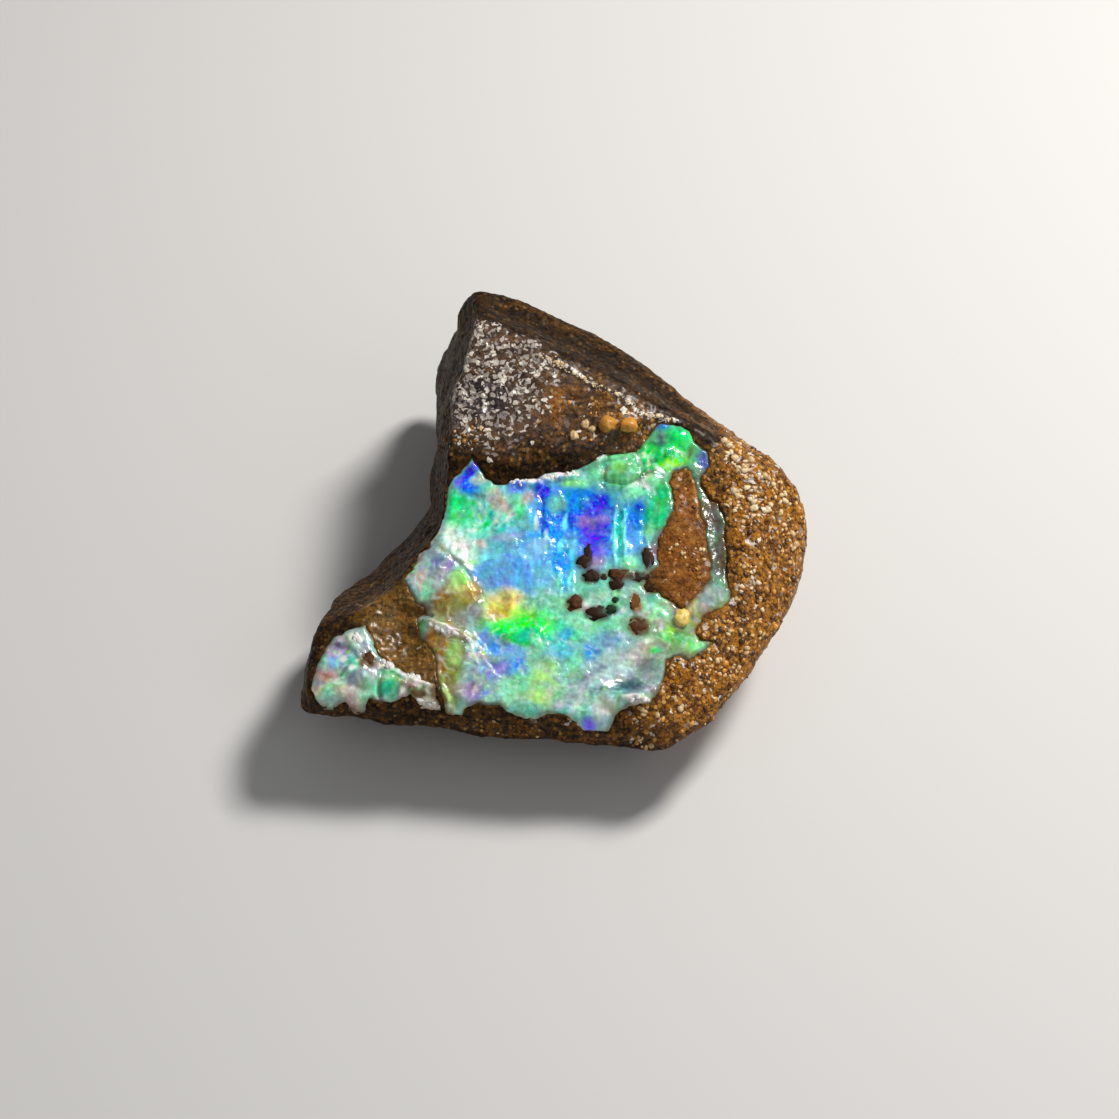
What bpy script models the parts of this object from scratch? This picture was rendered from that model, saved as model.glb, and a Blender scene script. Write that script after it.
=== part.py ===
"""Rough boulder opal: one stone of brown ironstone with a seam of precious opal laid bare on its upper face.

Run with: blender --background --python part.py
Metres, +Z up. The origin is on the surface that the stone rests on, under the middle of its box. +X is to the
right of someone looking at the opal face, and +Y is away from them.
The stone is hewn: three blocks are cut from cubes along their cleavage faces and grown into one, the relief
of the opal face and of the broken walls is raised on the worn block, and last the foot is cut flat.
"""

import math
from dataclasses import dataclass

import bmesh
import bpy
from mathutils import Matrix, Vector, noise

MM = 0.001
STONE_NAME = "boulder_opal"
STONE_LENGTH = 16.3 * MM

# The opal face leans towards the viewer. Its own axes are u to the right, v up the face and w out of it.
FACE_LEAN = math.radians(18.0)
FACE_MIDDLE = Vector((0.0, 0.0, 5.5)) * MM
FACE_AXES = Matrix.Rotation(FACE_LEAN, 4, "X")
FACE_FRAME = Matrix.Translation(FACE_MIDDLE) @ FACE_AXES
TO_FACE = FACE_FRAME.inverted()
FACE_OUT = FACE_AXES.to_3x3() @ Vector((0.0, 0.0, 1.0))

BLANK_SIDE = 2.0 * STONE_LENGTH
EDGE_WEAR = 0.28 * MM
GRAIN_SIDE = 0.20 * MM
WEATHERING = 3
RIGHT_WEATHERING = 14
RIGHT_SIDE = 5.0 * MM
KEPT_TRIANGLES = 9200

# Broken rock: shallow flake scars over the walls, and roughness of three sizes over everything.
FLAKE_SIZE = 2.6 * MM
FLAKE_DEPTH = 0.34 * MM
ROUGHNESS = ((2.9 * MM, 0.12 * MM), (1.2 * MM, 0.07 * MM), (0.6 * MM, 0.03 * MM))
OPAL_ROUGHNESS = 0.35

# The step from the opal up to the dark facet behind it.
UPPER_STEP = ((-4.2, 1.9), (-2.7, 1.8), (-1.2, 1.4), (0.1, 1.9), (1.2, 2.1), (2.1, 2.7), (3.2, 3.3), (4.2, 3.7))
UPPER_STEP_RISE = 0.55
UPPER_STEP_RUN = 0.45
UPPER_FACET_TOP = 7.4


@dataclass(frozen=True)
class Cleavage:
    """A plane that the stone parted along.

    through is a point on it in face axes (u, v, w) in millimetres, bearing is the way it faces in plan in
    degrees from +X towards +Y, and lean is how far it faces up from an upright wall.
    """

    name: str
    through: tuple
    bearing: float
    lean: float

    def point(self):
        return FACE_FRAME @ (Vector(self.through) * MM)

    def outward(self):
        bearing, lean = math.radians(self.bearing), math.radians(self.lean)
        level = math.cos(lean)
        return Vector((level * math.cos(bearing), level * math.sin(bearing), math.sin(lean)))


@dataclass(frozen=True)
class Swell:
    """An oval lump on the face, or a scallop where its rise is negative. Millimetres, turn in degrees."""

    name: str
    u: float
    v: float
    half_length: float
    half_width: float
    turn: float
    rise: float

    def height(self, u, v):
        turn = math.radians(self.turn)
        du, dv = u - self.u, v - self.v
        along = (du * math.cos(turn) + dv * math.sin(turn)) / self.half_length
        across = (dv * math.cos(turn) - du * math.sin(turn)) / self.half_width
        inside = 1.0 - along * along - across * across
        return self.rise * inside * inside if inside > 0.0 else 0.0


@dataclass(frozen=True)
class Crest:
    """A long ridge on the face, or a groove where its rise is negative, along a bent line."""

    name: str
    line: tuple
    half_width: float
    rise: float

    def height(self, u, v):
        inside = 1.0 - (distance_to_line(u, v, self.line)[0] / self.half_width) ** 2
        return self.rise * inside * inside if inside > 0.0 else 0.0


@dataclass(frozen=True)
class Drop:
    """A small ledge across the face: the ground to the right of its line, seen along it, lies lower."""

    name: str
    line: tuple
    run: float
    reach: float
    depth: float

    def height(self, u, v):
        away, side = distance_to_line(u, v, self.line)
        if side > 0.0 or away > self.reach:
            return 0.0
        return -self.depth * ease(0.0, self.run, away) * (1.0 - ease(0.3 * self.reach, self.reach, away))


MAIN_BLOCK = (
    Cleavage("opal face", (0.0, 0.0, 0.0), -90.0, 72.0),
    Cleavage("back chamfer", (0.5, 5.4, 0.1), 43.0, 65.0),
    Cleavage("back wall", (0.0, 7.9, -1.6), 63.0, 4.0),
    Cleavage("back right wall", (3.0, 6.1, -1.5), 52.0, 5.0),
    Cleavage("apex end", (-2.3, 8.75, -1.5), 90.0, 12.0),
    Cleavage("apex corner", (-3.20, 8.55, -1.0), 130.0, 16.0),
    Cleavage("left wall", (-3.80, 2.2, 0.0), 176.5, 28.0),
    Cleavage("upper left wall", (-3.20, 6.6, 0.2), 178.0, 10.0),
    Cleavage("right shoulder", (6.2, 2.5, -0.15), 42.0, 46.0),
    Cleavage("right back wall", (7.0, 2.55, -0.9), 42.0, 2.0),
    Cleavage("right edge", (7.45, -0.2, -0.25), -4.0, 44.0),
    Cleavage("right wall", (8.15, 0.0, -1.0), 0.0, -10.0),
    Cleavage("right front edge", (6.5, -2.9, -0.25), -24.0, 44.0),
    Cleavage("right front wall", (7.5, -2.35, -0.9), -21.0, -24.0),
    Cleavage("corner edge", (4.9, -5.3, -0.35), -46.0, 44.0),
    Cleavage("right corner wall", (6.35, -4.75, -0.9), -36.0, -30.0),
    Cleavage("corner wall", (4.9, -6.25, -0.95), -52.0, -30.0),
    Cleavage("front lip", (1.5, -7.35, -1.35), -92.0, 14.0),
    Cleavage("left front lip", (-3.2, -6.75, -1.2), -97.0, 14.0),
    Cleavage("front undercut", (0.7, -7.4, -2.0), -92.0, -60.0),
    Cleavage("left front undercut", (-4.0, -6.5, -1.3), -98.0, -60.0),
    Cleavage("corner undercut", (6.0, -5.0, -1.5), -42.0, -54.0),
    Cleavage("right undercut", (7.9, -1.0, -2.2), -8.0, -50.0),
    Cleavage("back undercut", (2.0, 6.6, -5.2), 60.0, -54.0),
    Cleavage("left undercut", (-5.3, 2.0, -4.2), 172.0, -52.0),
    Cleavage("bottom", (0.0, 0.0, -6.2), -90.0, -90.0),
)
SHOULDER_BLOCK = (
    Cleavage("shoulder face", (-5.0, -3.0, 0.0), -92.0, 71.5),
    Cleavage("shoulder back", (-5.25, -2.0, 0.0), 151.0, 36.0),
    Cleavage("shoulder back wall", (-6.05, -0.30, -2.5), 140.0, 8.0),
    Cleavage("shoulder end", (-6.4, -4.0, -1.0), 180.0, 0.0),
    Cleavage("shoulder lip", (-4.3, -6.5, -1.2), -98.0, 14.0),
    Cleavage("shoulder undercut", (-4.0, -6.5, -1.3), -98.0, -60.0),
    Cleavage("root in the main block", (-1.5, -3.0, -1.0), 0.0, 0.0),
    Cleavage("shoulder bottom", (0.0, 0.0, -6.2), -90.0, -90.0),
)
TIP_BLOCK = (
    Cleavage("tip face", (-6.0, -4.6, -0.05), -95.0, 71.0),
    Cleavage("tip back", (-6.9, -3.30, 0.0), 122.0, 53.0),
    Cleavage("tip back wall", (-7.4, -1.55, -2.5), 132.0, 6.0),
    Cleavage("tip end", (-7.80, -4.9, -0.4), 173.0, 9.0),
    Cleavage("tip corner", (-7.75, -5.75, -0.6), -140.0, 4.0),
    Cleavage("tip lip", (-6.9, -5.98, -0.3), -95.0, -14.0),
    Cleavage("tip undercut", (-6.9, -5.95, -1.3), -100.0, -56.0),
    Cleavage("tip end undercut", (-8.1, -4.5, -2.6), -175.0, -50.0),
    Cleavage("root in the shoulder", (-4.6, -3.0, -1.0), 0.0, 0.0),
    Cleavage("tip bottom", (0.0, 0.0, -6.2), -90.0, -90.0),
)

FACE_RELIEF = (
    Swell("scallop at the left edge", -2.35, 0.15, 1.45, 1.25, 20.0, -0.26),
    Swell("scallop in the lower right corner", 2.35, -4.95, 1.05, 0.85, 15.0, -0.30),
    Swell("bowl of the green fold", -0.9, -3.1, 1.7, 1.0, -15.0, -0.16),
    Swell("blue hollow", 0.6, -0.4, 1.8, 1.3, 80.0, -0.12),
    Swell("brown hollow", -4.9, -3.7, 1.6, 1.2, 115.0, -0.50),
    Swell("raised opal tip", -6.85, -4.95, 1.35, 1.15, 60.0, 0.22),
    Swell("shard", -4.1, -1.75, 0.8, 0.65, 60.0, 0.10),
    Swell("ironstone lens", 4.1, -0.6, 2.3, 1.1, 105.0, 0.16),
    Swell("sandy dome", 6.2, -1.0, 3.6, 2.0, 95.0, 0.12),
    Swell("round opal lump", 2.11, 1.94, 0.62, 0.56, 0.0, 0.20),
    Swell("green lump, top", 3.96, 3.02, 0.5, 0.45, 0.0, 0.16),
    Swell("green lump, right", 3.5, 2.4, 0.5, 0.4, 30.0, 0.12),
    Swell("green lump, middle", 3.0, 1.55, 0.5, 0.4, 60.0, 0.12),
    Swell("green lump, left", 1.3, 1.75, 0.5, 0.35, 30.0, 0.12),
    Swell("orange grain, left", 1.60, 3.23, 0.36, 0.36, 0.0, 0.20),
    Swell("orange grain, right", 2.28, 3.23, 0.34, 0.34, 0.0, 0.18),
    Swell("pit by the left wall", -2.84, 4.5, 0.38, 0.28, 0.0, -0.22),
    Swell("pit in the facet", -2.22, 4.0, 0.32, 0.26, 0.0, -0.24),
    Swell("pit in the middle of the facet", -1.12, 4.43, 0.30, 0.24, 0.0, -0.20),
    Swell("pit at the foot of the facet", -2.22, 3.44, 0.34, 0.26, 0.0, -0.18),
    Swell("dark vug in the sand", 5.55, -3.0, 0.42, 0.34, 0.0, -0.22),
    Swell("notch in the front lip", 2.75, -6.9, 0.40, 0.55, 0.0, -0.30),
    Crest("opal wedge beside the hollow", ((-6.2, -5.0), (-5.0, -5.35), (-3.9, -5.8)), 0.55, 0.24),
    Crest("lip of the lower seam", ((-4.2, -3.3), (-3.5, -3.5), (-3.0, -3.75), (-2.4, -4.4)), 0.35, 0.08),
    Crest("rim of the corner scallop", ((1.6, -5.85), (2.3, -5.95), (3.0, -5.6)), 0.40, 0.16),
    Crest("crest of the back edge", ((-2.9, 7.1), (-0.4, 5.9), (2.5, 4.4), (4.8, 3.2)), 0.60, 0.05),
    Crest("fold of the dark facet", ((-0.7, 2.6), (0.2, 3.8), (0.9, 4.9)), 1.3, -0.16),
    Crest("crease of the back chamfer", ((-1.9, 7.9), (0.4, 6.6), (3.0, 5.1), (5.2, 3.5)), 0.55, -0.16),
    Drop("edge of the opal sheet", ((-2.5, -2.5), (-2.75, -1.9), (-3.0, -1.4), (-3.9, -0.7)), 0.22, 1.5, 0.16),
    Drop("pocket above the lower seam", ((-2.4, -4.4), (-3.0, -3.75), (-3.5, -3.5), (-4.2, -3.3)), 0.22, 1.2, 0.18),
    Drop("lower edge of the opal", ((-3.2, -6.2), (-1.2, -6.3), (0.6, -6.45), (2.0, -6.2)), 0.25, 1.6, 0.12),
)


def ease(start, end, x):
    """0 below start, 1 above end, and a smooth rise between them."""
    t = min(1.0, max(0.0, (x - start) / (end - start)))
    return t * t * (3.0 - 2.0 * t)


def distance_to_line(u, v, line):
    """How far a point lies from a bent line, and which side it is on (positive on the left)."""
    nearest, side = 1e9, 0.0
    for (u0, v0), (u1, v1) in zip(line, line[1:]):
        du, dv = u1 - u0, v1 - v0
        along = min(1.0, max(0.0, ((u - u0) * du + (v - v0) * dv) / (du * du + dv * dv)))
        away = math.hypot(u - u0 - along * du, v - v0 - along * dv)
        if away < nearest:
            nearest, side = away, du * (v - v0) - dv * (u - u0)
    return nearest, side


def upper_facet(u, v):
    """Rise of the dark facet above the opal: most at its foot, less towards the apex and the right."""
    away, side = distance_to_line(u, v, UPPER_STEP)
    if side < 0.0:
        return 0.0
    rise = UPPER_STEP_RISE * (1.0 - 0.45 * ease(2.5, UPPER_FACET_TOP, v))
    rise *= ease(4.3, 1.6, u) * (0.4 + 0.6 * ease(-3.4, 0.0, u))
    return rise * ease(0.0, UPPER_STEP_RUN, away)


def broken_rock(place):
    """Depth of the flake scars at a place: bowls that meet in sharp crests, in metres."""
    drift = 0.35 * FLAKE_SIZE * noise.noise_vector(place / (1.7 * FLAKE_SIZE))
    near, far = noise.voronoi((place + drift) / FLAKE_SIZE)[0][:2]
    return FLAKE_DEPTH * (near * near - 0.25)


def rock_grain(place):
    """Roughness of the broken rock at a place, in metres."""
    return sum(height * noise.noise(place / size) for size, height in ROUGHNESS)


def hew(name, cleavages, collection):
    """A block cut from a cube along its cleavage planes."""
    work = bmesh.new()
    bmesh.ops.create_cube(work, size=BLANK_SIDE)
    for cleavage in cleavages:
        cut = bmesh.ops.bisect_plane(
            work,
            geom=work.verts[:] + work.edges[:] + work.faces[:],
            plane_co=cleavage.point(),
            plane_no=cleavage.outward(),
            clear_outer=True,
        )
        rim = [piece for piece in cut["geom_cut"] if isinstance(piece, bmesh.types.BMEdge)]
        bmesh.ops.contextual_create(work, geom=rim)
    bmesh.ops.recalc_face_normals(work, faces=work.faces)
    block = bpy.data.objects.new(name, bpy.data.meshes.new(name))
    work.to_mesh(block.data)
    work.free()
    collection.objects.link(block)
    return block


def grow_together(stone, others):
    """One worn block of even grain from the main block and the others."""
    for other in others:
        joined = stone.modifiers.new(f"{other.name} grown on", "BOOLEAN")
        joined.operation = "UNION"
        joined.solver = "EXACT"
        joined.object = other
    worn = stone.modifiers.new("worn edges", "BEVEL")
    worn.width = EDGE_WEAR
    worn.segments = 2
    worn.limit_method = "ANGLE"
    even = stone.modifiers.new("even grain", "REMESH")
    even.mode = "VOXEL"
    even.voxel_size = GRAIN_SIDE
    settle(stone)


def settle(stone):
    """The stone's mesh as its modifiers leave it, with the modifiers taken off."""
    depsgraph = bpy.context.evaluated_depsgraph_get()
    shaped = bpy.data.meshes.new_from_object(stone.evaluated_get(depsgraph))
    stone.modifiers.clear()
    stone.data = shaped


def raise_relief(mesh):
    """Weathers the block, then raises the face's features along the face and the broken rock along the walls."""
    work = bmesh.new()
    work.from_mesh(mesh)
    for round_number in range(RIGHT_WEATHERING):
        soft = [v for v in work.verts if round_number < WEATHERING or v.co.x > RIGHT_SIDE]
        bmesh.ops.smooth_vert(work, verts=soft, factor=0.5, use_axis_x=True, use_axis_y=True, use_axis_z=True)
    work.normal_update()
    moves = []
    for vert in work.verts:
        u, v, w = TO_FACE @ vert.co / MM
        on_face = ease(0.30, 0.75, vert.normal.dot(FACE_OUT)) * ease(-2.6, -1.6, w)
        rise = upper_facet(u, v) + sum(feature.height(u, v) for feature in FACE_RELIEF)
        grain = rock_grain(vert.co) * (1.0 - (1.0 - OPAL_ROUGHNESS) * on_face)
        flakes = broken_rock(vert.co) * (1.0 - on_face)
        moves.append(FACE_OUT * (rise * MM * on_face) + vert.normal * (grain + flakes))
    for vert, move in zip(work.verts, moves):
        vert.co += move
    work.to_mesh(mesh)
    work.free()


def thin_out(stone):
    """Keeps the triangles that carry the stone's form."""
    triangles = sum(len(face.vertices) - 2 for face in stone.data.polygons)
    fewer = stone.modifiers.new("fewer triangles", "DECIMATE")
    fewer.ratio = min(1.0, KEPT_TRIANGLES / triangles)
    fewer.use_collapse_triangulate = True
    settle(stone)


def cut_foot(mesh):
    """Cuts the flat foot that the stone rests on and centres the stone over it."""
    work = bmesh.new()
    work.from_mesh(mesh)
    cut = bmesh.ops.bisect_plane(
        work,
        geom=work.verts[:] + work.edges[:] + work.faces[:],
        plane_co=(0.0, 0.0, 0.0),
        plane_no=(0.0, 0.0, -1.0),
        dist=0.01 * MM,
        clear_outer=True,
    )
    rim = [piece for piece in cut["geom_cut"] if isinstance(piece, bmesh.types.BMEdge)]
    bmesh.ops.holes_fill(work, edges=rim)
    xs, ys = [v.co.x for v in work.verts], [v.co.y for v in work.verts]
    middle = Vector((min(xs) + max(xs), min(ys) + max(ys), 0.0)) / 2.0
    bmesh.ops.translate(work, verts=work.verts, vec=-middle)
    bmesh.ops.recalc_face_normals(work, faces=work.faces)
    work.to_mesh(mesh)
    work.free()
    return middle


def make_ironstone():
    material = bpy.data.materials.new("ironstone")
    material.use_nodes = True
    shader = material.node_tree.nodes["Principled BSDF"]
    shader.inputs["Base Color"].default_value = (0.16, 0.075, 0.028, 1.0)
    shader.inputs["Roughness"].default_value = 0.45
    shader.inputs["Metallic"].default_value = 0.0
    return material


def main():
    for left_over in list(bpy.data.objects):
        bpy.data.objects.remove(left_over)
    stone_parts = bpy.data.collections.new("rough boulder opal")
    bpy.context.scene.collection.children.link(stone_parts)
    stone = hew(STONE_NAME, MAIN_BLOCK, stone_parts)
    others = [hew("shoulder", SHOULDER_BLOCK, stone_parts), hew("tip", TIP_BLOCK, stone_parts)]
    grow_together(stone, others)
    for other in others:
        bpy.data.objects.remove(other)
    raise_relief(stone.data)
    thin_out(stone)
    middle = cut_foot(stone.data)
    stone.data.materials.clear()
    stone.data.materials.append(make_ironstone())
    print(f"face middle moved by {-middle.x / MM:.4f}, {-middle.y / MM:.4f} mm")


main()
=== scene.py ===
"""Looks of the rough boulder opal: broken ironstone with a glossy seam of precious opal on its upper face.

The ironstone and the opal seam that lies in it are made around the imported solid, and four pieces of grains
are set in their surface. Sizes are in millimetres unless a name says otherwise.
"""

import logging
import math
import random
from dataclasses import dataclass, field, replace
from enum import Enum
from typing import Iterable, Mapping, Optional, Sequence

import bmesh
import bpy
import numpy as np
from mathutils import Matrix, Vector, noise
from mathutils.bvhtree import BVHTree


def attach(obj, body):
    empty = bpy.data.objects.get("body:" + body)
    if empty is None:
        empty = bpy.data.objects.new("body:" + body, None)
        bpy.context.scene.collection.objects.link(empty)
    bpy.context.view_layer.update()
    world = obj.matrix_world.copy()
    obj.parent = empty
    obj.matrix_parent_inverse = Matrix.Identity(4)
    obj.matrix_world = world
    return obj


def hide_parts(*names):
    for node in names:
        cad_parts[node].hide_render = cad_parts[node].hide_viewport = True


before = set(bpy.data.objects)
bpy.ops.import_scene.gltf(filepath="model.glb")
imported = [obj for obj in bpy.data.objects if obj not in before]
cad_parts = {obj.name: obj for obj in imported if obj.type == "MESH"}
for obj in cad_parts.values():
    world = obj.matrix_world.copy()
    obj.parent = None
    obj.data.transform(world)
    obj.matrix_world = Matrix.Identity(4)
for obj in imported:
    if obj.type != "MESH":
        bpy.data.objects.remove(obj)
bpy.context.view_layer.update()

LOG = logging.getLogger("boulder_opal")
MM = 0.001
CELL_SHUFFLE = 7.31
STONE_NODE = "boulder_opal"

FACE_LEAN = math.radians(18.0)
FACE_MIDDLE = Vector((0.0384, -1.6736, 5.5))
FACE_AXES = Matrix.Rotation(FACE_LEAN, 3, "X")

Point2 = tuple[float, float]
Point3 = tuple[float, float, float]
Field = np.ndarray


# ---------------------------------------------------------------- colours


def linear(code: str) -> Point3:
    """Turns a hex colour into linear red, green and blue."""
    parts = [int(code[i : i + 2], 16) / 255.0 for i in (1, 3, 5)]
    return tuple(p / 12.92 if p <= 0.04045 else ((p + 0.055) / 1.055) ** 2.4 for p in parts)


class Shade(Enum):
    """A named colour, as a hex code."""

    @property
    def rgb(self) -> Point3:
        """The colour in linear light."""
        return linear(self.value)


class Hue(Shade):
    """The colours that the opal plays in, those of its milky and earthy parts, and the near-white of its
    painted glints.
    """

    INDIGO = "#3424DC"
    VIOLET = "#664CEE"
    COBALT = "#2C62F4"
    AZURE = "#0A8CF8"
    SKY = "#6AAEEE"
    CYAN = "#8CF6F0"
    TEAL = "#27B49C"
    MINT = "#93EFBC"
    EMERALD = "#12C858"
    GREEN = "#3CE37C"
    LIME = "#93EE38"
    YELLOW = "#F4DE84"
    AMBER = "#E2A850"
    HONEY = "#86611F"
    UMBER = "#5A3A16"
    ROSE = "#C99C98"
    LILAC = "#A990CC"
    CREAM = "#DCD2BE"
    MILK = "#A9C6C8"
    ASH = "#5F5A68"
    SLATE = "#3A5260"
    SEA = "#74C6B8"
    BAY = "#4288EE"
    LEAF = "#4C9A58"
    AQUA = "#76C2A6"
    OLIVE = "#86884C"
    PEARL = "#98AAAC"
    OCHRE = "#94602A"
    RUSSET = "#A8604A"
    PALE = "#D8F0E4"
    NEON = "#1CF24A"
    JADE = "#3CCFA0"
    PISTACHIO = "#B4E48C"
    PERIWINKLE = "#7CB0F0"
    MAUVE = "#9A8A98"
    SMOKE = "#4C4238"
    DUSK = "#42389A"
    CHALK = "#AEB2A6"
    FERN = "#66691E"
    # painted highlight: near-white laid where the opal glints
    FROST = "#FFFAF0"


class Earth(Shade):
    """The browns of the ironstone; the sides' brown is darkened as painted shade."""

    # the dark brown of the stone's sides, darkened further as painted shade
    SHADED_WALL = "#22170D"
    FACET = "#524239"
    RUST = "#5E3F20"
    LENS = "#8A5527"
    LIP = "#453321"
    HOLLOW = "#6E5424"
    OCHRE = "#75491A"
    SMOKE = "#5A4226"
    LILAC = "#42383A"


# ---------------------------------------------------------------- measuring on the face


def ease(start: float, end: float, x: Field) -> Field:
    """A smooth rise from 0 at start to 1 at end."""
    t = np.clip((x - start) / (end - start), 0.0, 1.0)
    return t * t * (3.0 - 2.0 * t)


def to_face(points: Field) -> Field:
    """Points of the stone in metres as (u, v, w) on the face, in millimetres."""
    return (points / MM - np.array(FACE_MIDDLE)) @ np.array(FACE_AXES)


def from_face(uvw: Field) -> Field:
    """Points on the face, in millimetres, as points of the stone in metres."""
    return (uvw @ np.array(FACE_AXES).T + np.array(FACE_MIDDLE)) * MM


def distance_to_line(u: Field, v: Field, line: Sequence[Point2]) -> tuple[Field, Field]:
    """Measures places against a bent line.

    Args:
        u: Places along the face.
        v: Places up the face.
        line: The line's points.

    Returns:
        The distance to the line, and the side of it: positive on the left, seen along the line.
    """
    nearest, side = np.full(u.shape, 1e9), np.zeros(u.shape)
    for (u0, v0), (u1, v1) in zip(line, line[1:]):
        du, dv = u1 - u0, v1 - v0
        along = np.clip(((u - u0) * du + (v - v0) * dv) / (du * du + dv * dv), 0.0, 1.0)
        away = np.hypot(u - u0 - along * du, v - v0 - along * dv)
        closer = away < nearest
        side = np.where(closer, du * (v - v0) - dv * (u - u0), side)
        nearest = np.where(closer, away, nearest)
    return nearest, side


def spread(value: Field) -> Field:
    """A soft share: 1 where the value is 0, falling smoothly to 0 where it is 1 and beyond."""
    inside = np.clip(1.0 - value**2, 0.0, None)
    return inside * inside


def soft_cover(reach: Field, soft: float) -> Field:
    """1 inside a shape and 0 outside it, with a soft rim where its reach is 1."""
    return 1.0 - ease(1.0 - soft, 1.0 + 0.7 * soft, reach)


@dataclass(frozen=True)
class Outline:
    """A closed outline on the face."""

    name: str
    points: tuple[Point2, ...]

    def depth(self, u: Field, v: Field) -> Field:
        """How far inside the outline each place lies, negative outside."""
        away, _ = distance_to_line(u, v, self.points + self.points[:1])
        inside = np.zeros(u.shape, bool)
        for (u0, v0), (u1, v1) in zip(self.points, self.points[1:] + self.points[:1]):
            if v0 != v1:
                crossed = (v0 > v) != (v1 > v)
                inside ^= crossed & (u < (u1 - u0) * (v - v0) / (v1 - v0) + u0)
        return np.where(inside, away, -away)


@dataclass(frozen=True)
class Oval:
    """An oval on the face: its middle, half length, half width and turn in degrees."""

    u: float
    v: float
    half_length: float
    half_width: float
    turn: float = 0.0

    def reach(self, u: Field, v: Field) -> Field:
        """0 in the middle of the oval, 1 on its rim and more outside."""
        turn = math.radians(self.turn)
        du, dv = u - self.u, v - self.v
        along = (du * math.cos(turn) + dv * math.sin(turn)) / self.half_length
        across = (dv * math.cos(turn) - du * math.sin(turn)) / self.half_width
        return np.hypot(along, across)

    def dome(self, u: Field, v: Field) -> Field:
        """1 in the middle, falling smoothly to 0 at the rim."""
        return spread(self.reach(u, v))

    def mask(self, u: Field, v: Field, soft: float = 0.5) -> Field:
        """1 inside the oval and 0 outside, with a soft rim."""
        return soft_cover(self.reach(u, v), soft)


@dataclass(frozen=True)
class Band:
    """A band along a bent line on the face."""

    line: tuple[Point2, ...]
    half_width: float

    def mask(self, u: Field, v: Field, soft: float = 0.5) -> Field:
        """1 inside the band and 0 outside, with a soft rim."""
        return soft_cover(distance_to_line(u, v, self.line)[0] / self.half_width, soft)


def noise_at(points: Field, size: float, stretch: Point2 = (1.0, 1.0), seed: float = 0.0) -> Field:
    """Smooth noise between about -1 and 1.

    Args:
        points: Places (u, v, w).
        size: The width of one wave.
        stretch: How much longer the waves are along u and along v.
        seed: Moves the pattern.

    Returns:
        One value for each place.
    """
    scaled = points / (size * np.array((stretch[0], stretch[1], 1.0))) + seed
    return np.fromiter((noise.noise(p) for p in map(Vector, scaled)), float, len(scaled))


@dataclass(frozen=True)
class Waves:
    """One layer of noise: its strength, the width of its waves, the start of its pattern and its stretch."""

    strength: float
    size: float
    seed: float
    stretch: Point2 = (1.0, 1.0)

    def at(self, points: Field) -> Field:
        """The layer's value at each place."""
        return self.strength * noise_at(points, self.size, self.stretch, self.seed)


def cells_at(
    points: Field, size: float, stretch: Point2 = (1.0, 1.0), seed: float = 0.0
) -> tuple[Field, Field]:
    """Divides places into cells around scattered seeds.

    Args:
        points: Places (u, v, w).
        size: The width of a cell.
        stretch: How much longer the cells are along u and along v.
        seed: Moves the pattern.

    Returns:
        The distance to the cell's seed in cell widths, and a random vector for each cell.
    """
    scaled = points / (size * np.array((stretch[0], stretch[1], 1.0))) + seed
    near, own = np.empty(len(scaled)), np.empty((len(scaled), 3))
    for i, spot in enumerate(map(Vector, scaled)):
        distances, seeds = noise.voronoi(spot)
        near[i], own[i] = distances[0], noise.cell_vector(seeds[0] * CELL_SHUFFLE)
    return near, own


def domes(near: Field, width: float) -> Field:
    """Rounded heights over cells, 1 at a cell's seed and 0 from a width away on."""
    return np.clip(1.0 - (near / width) ** 2, 0.0, 1.0)


def tint(colour: Field, shade: Field | Sequence[float], cover: Field) -> None:
    """Lays a shade over the rows of a colour, which is changed.

    Args:
        colour: Red, green and blue, one row for each place.
        shade: The shade, the same for all places or one row for each.
        cover: How much of it covers each place.
    """
    colour += (np.asarray(shade) - colour) * cover[:, None]


# ---------------------------------------------------------------- the forms of the face

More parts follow.
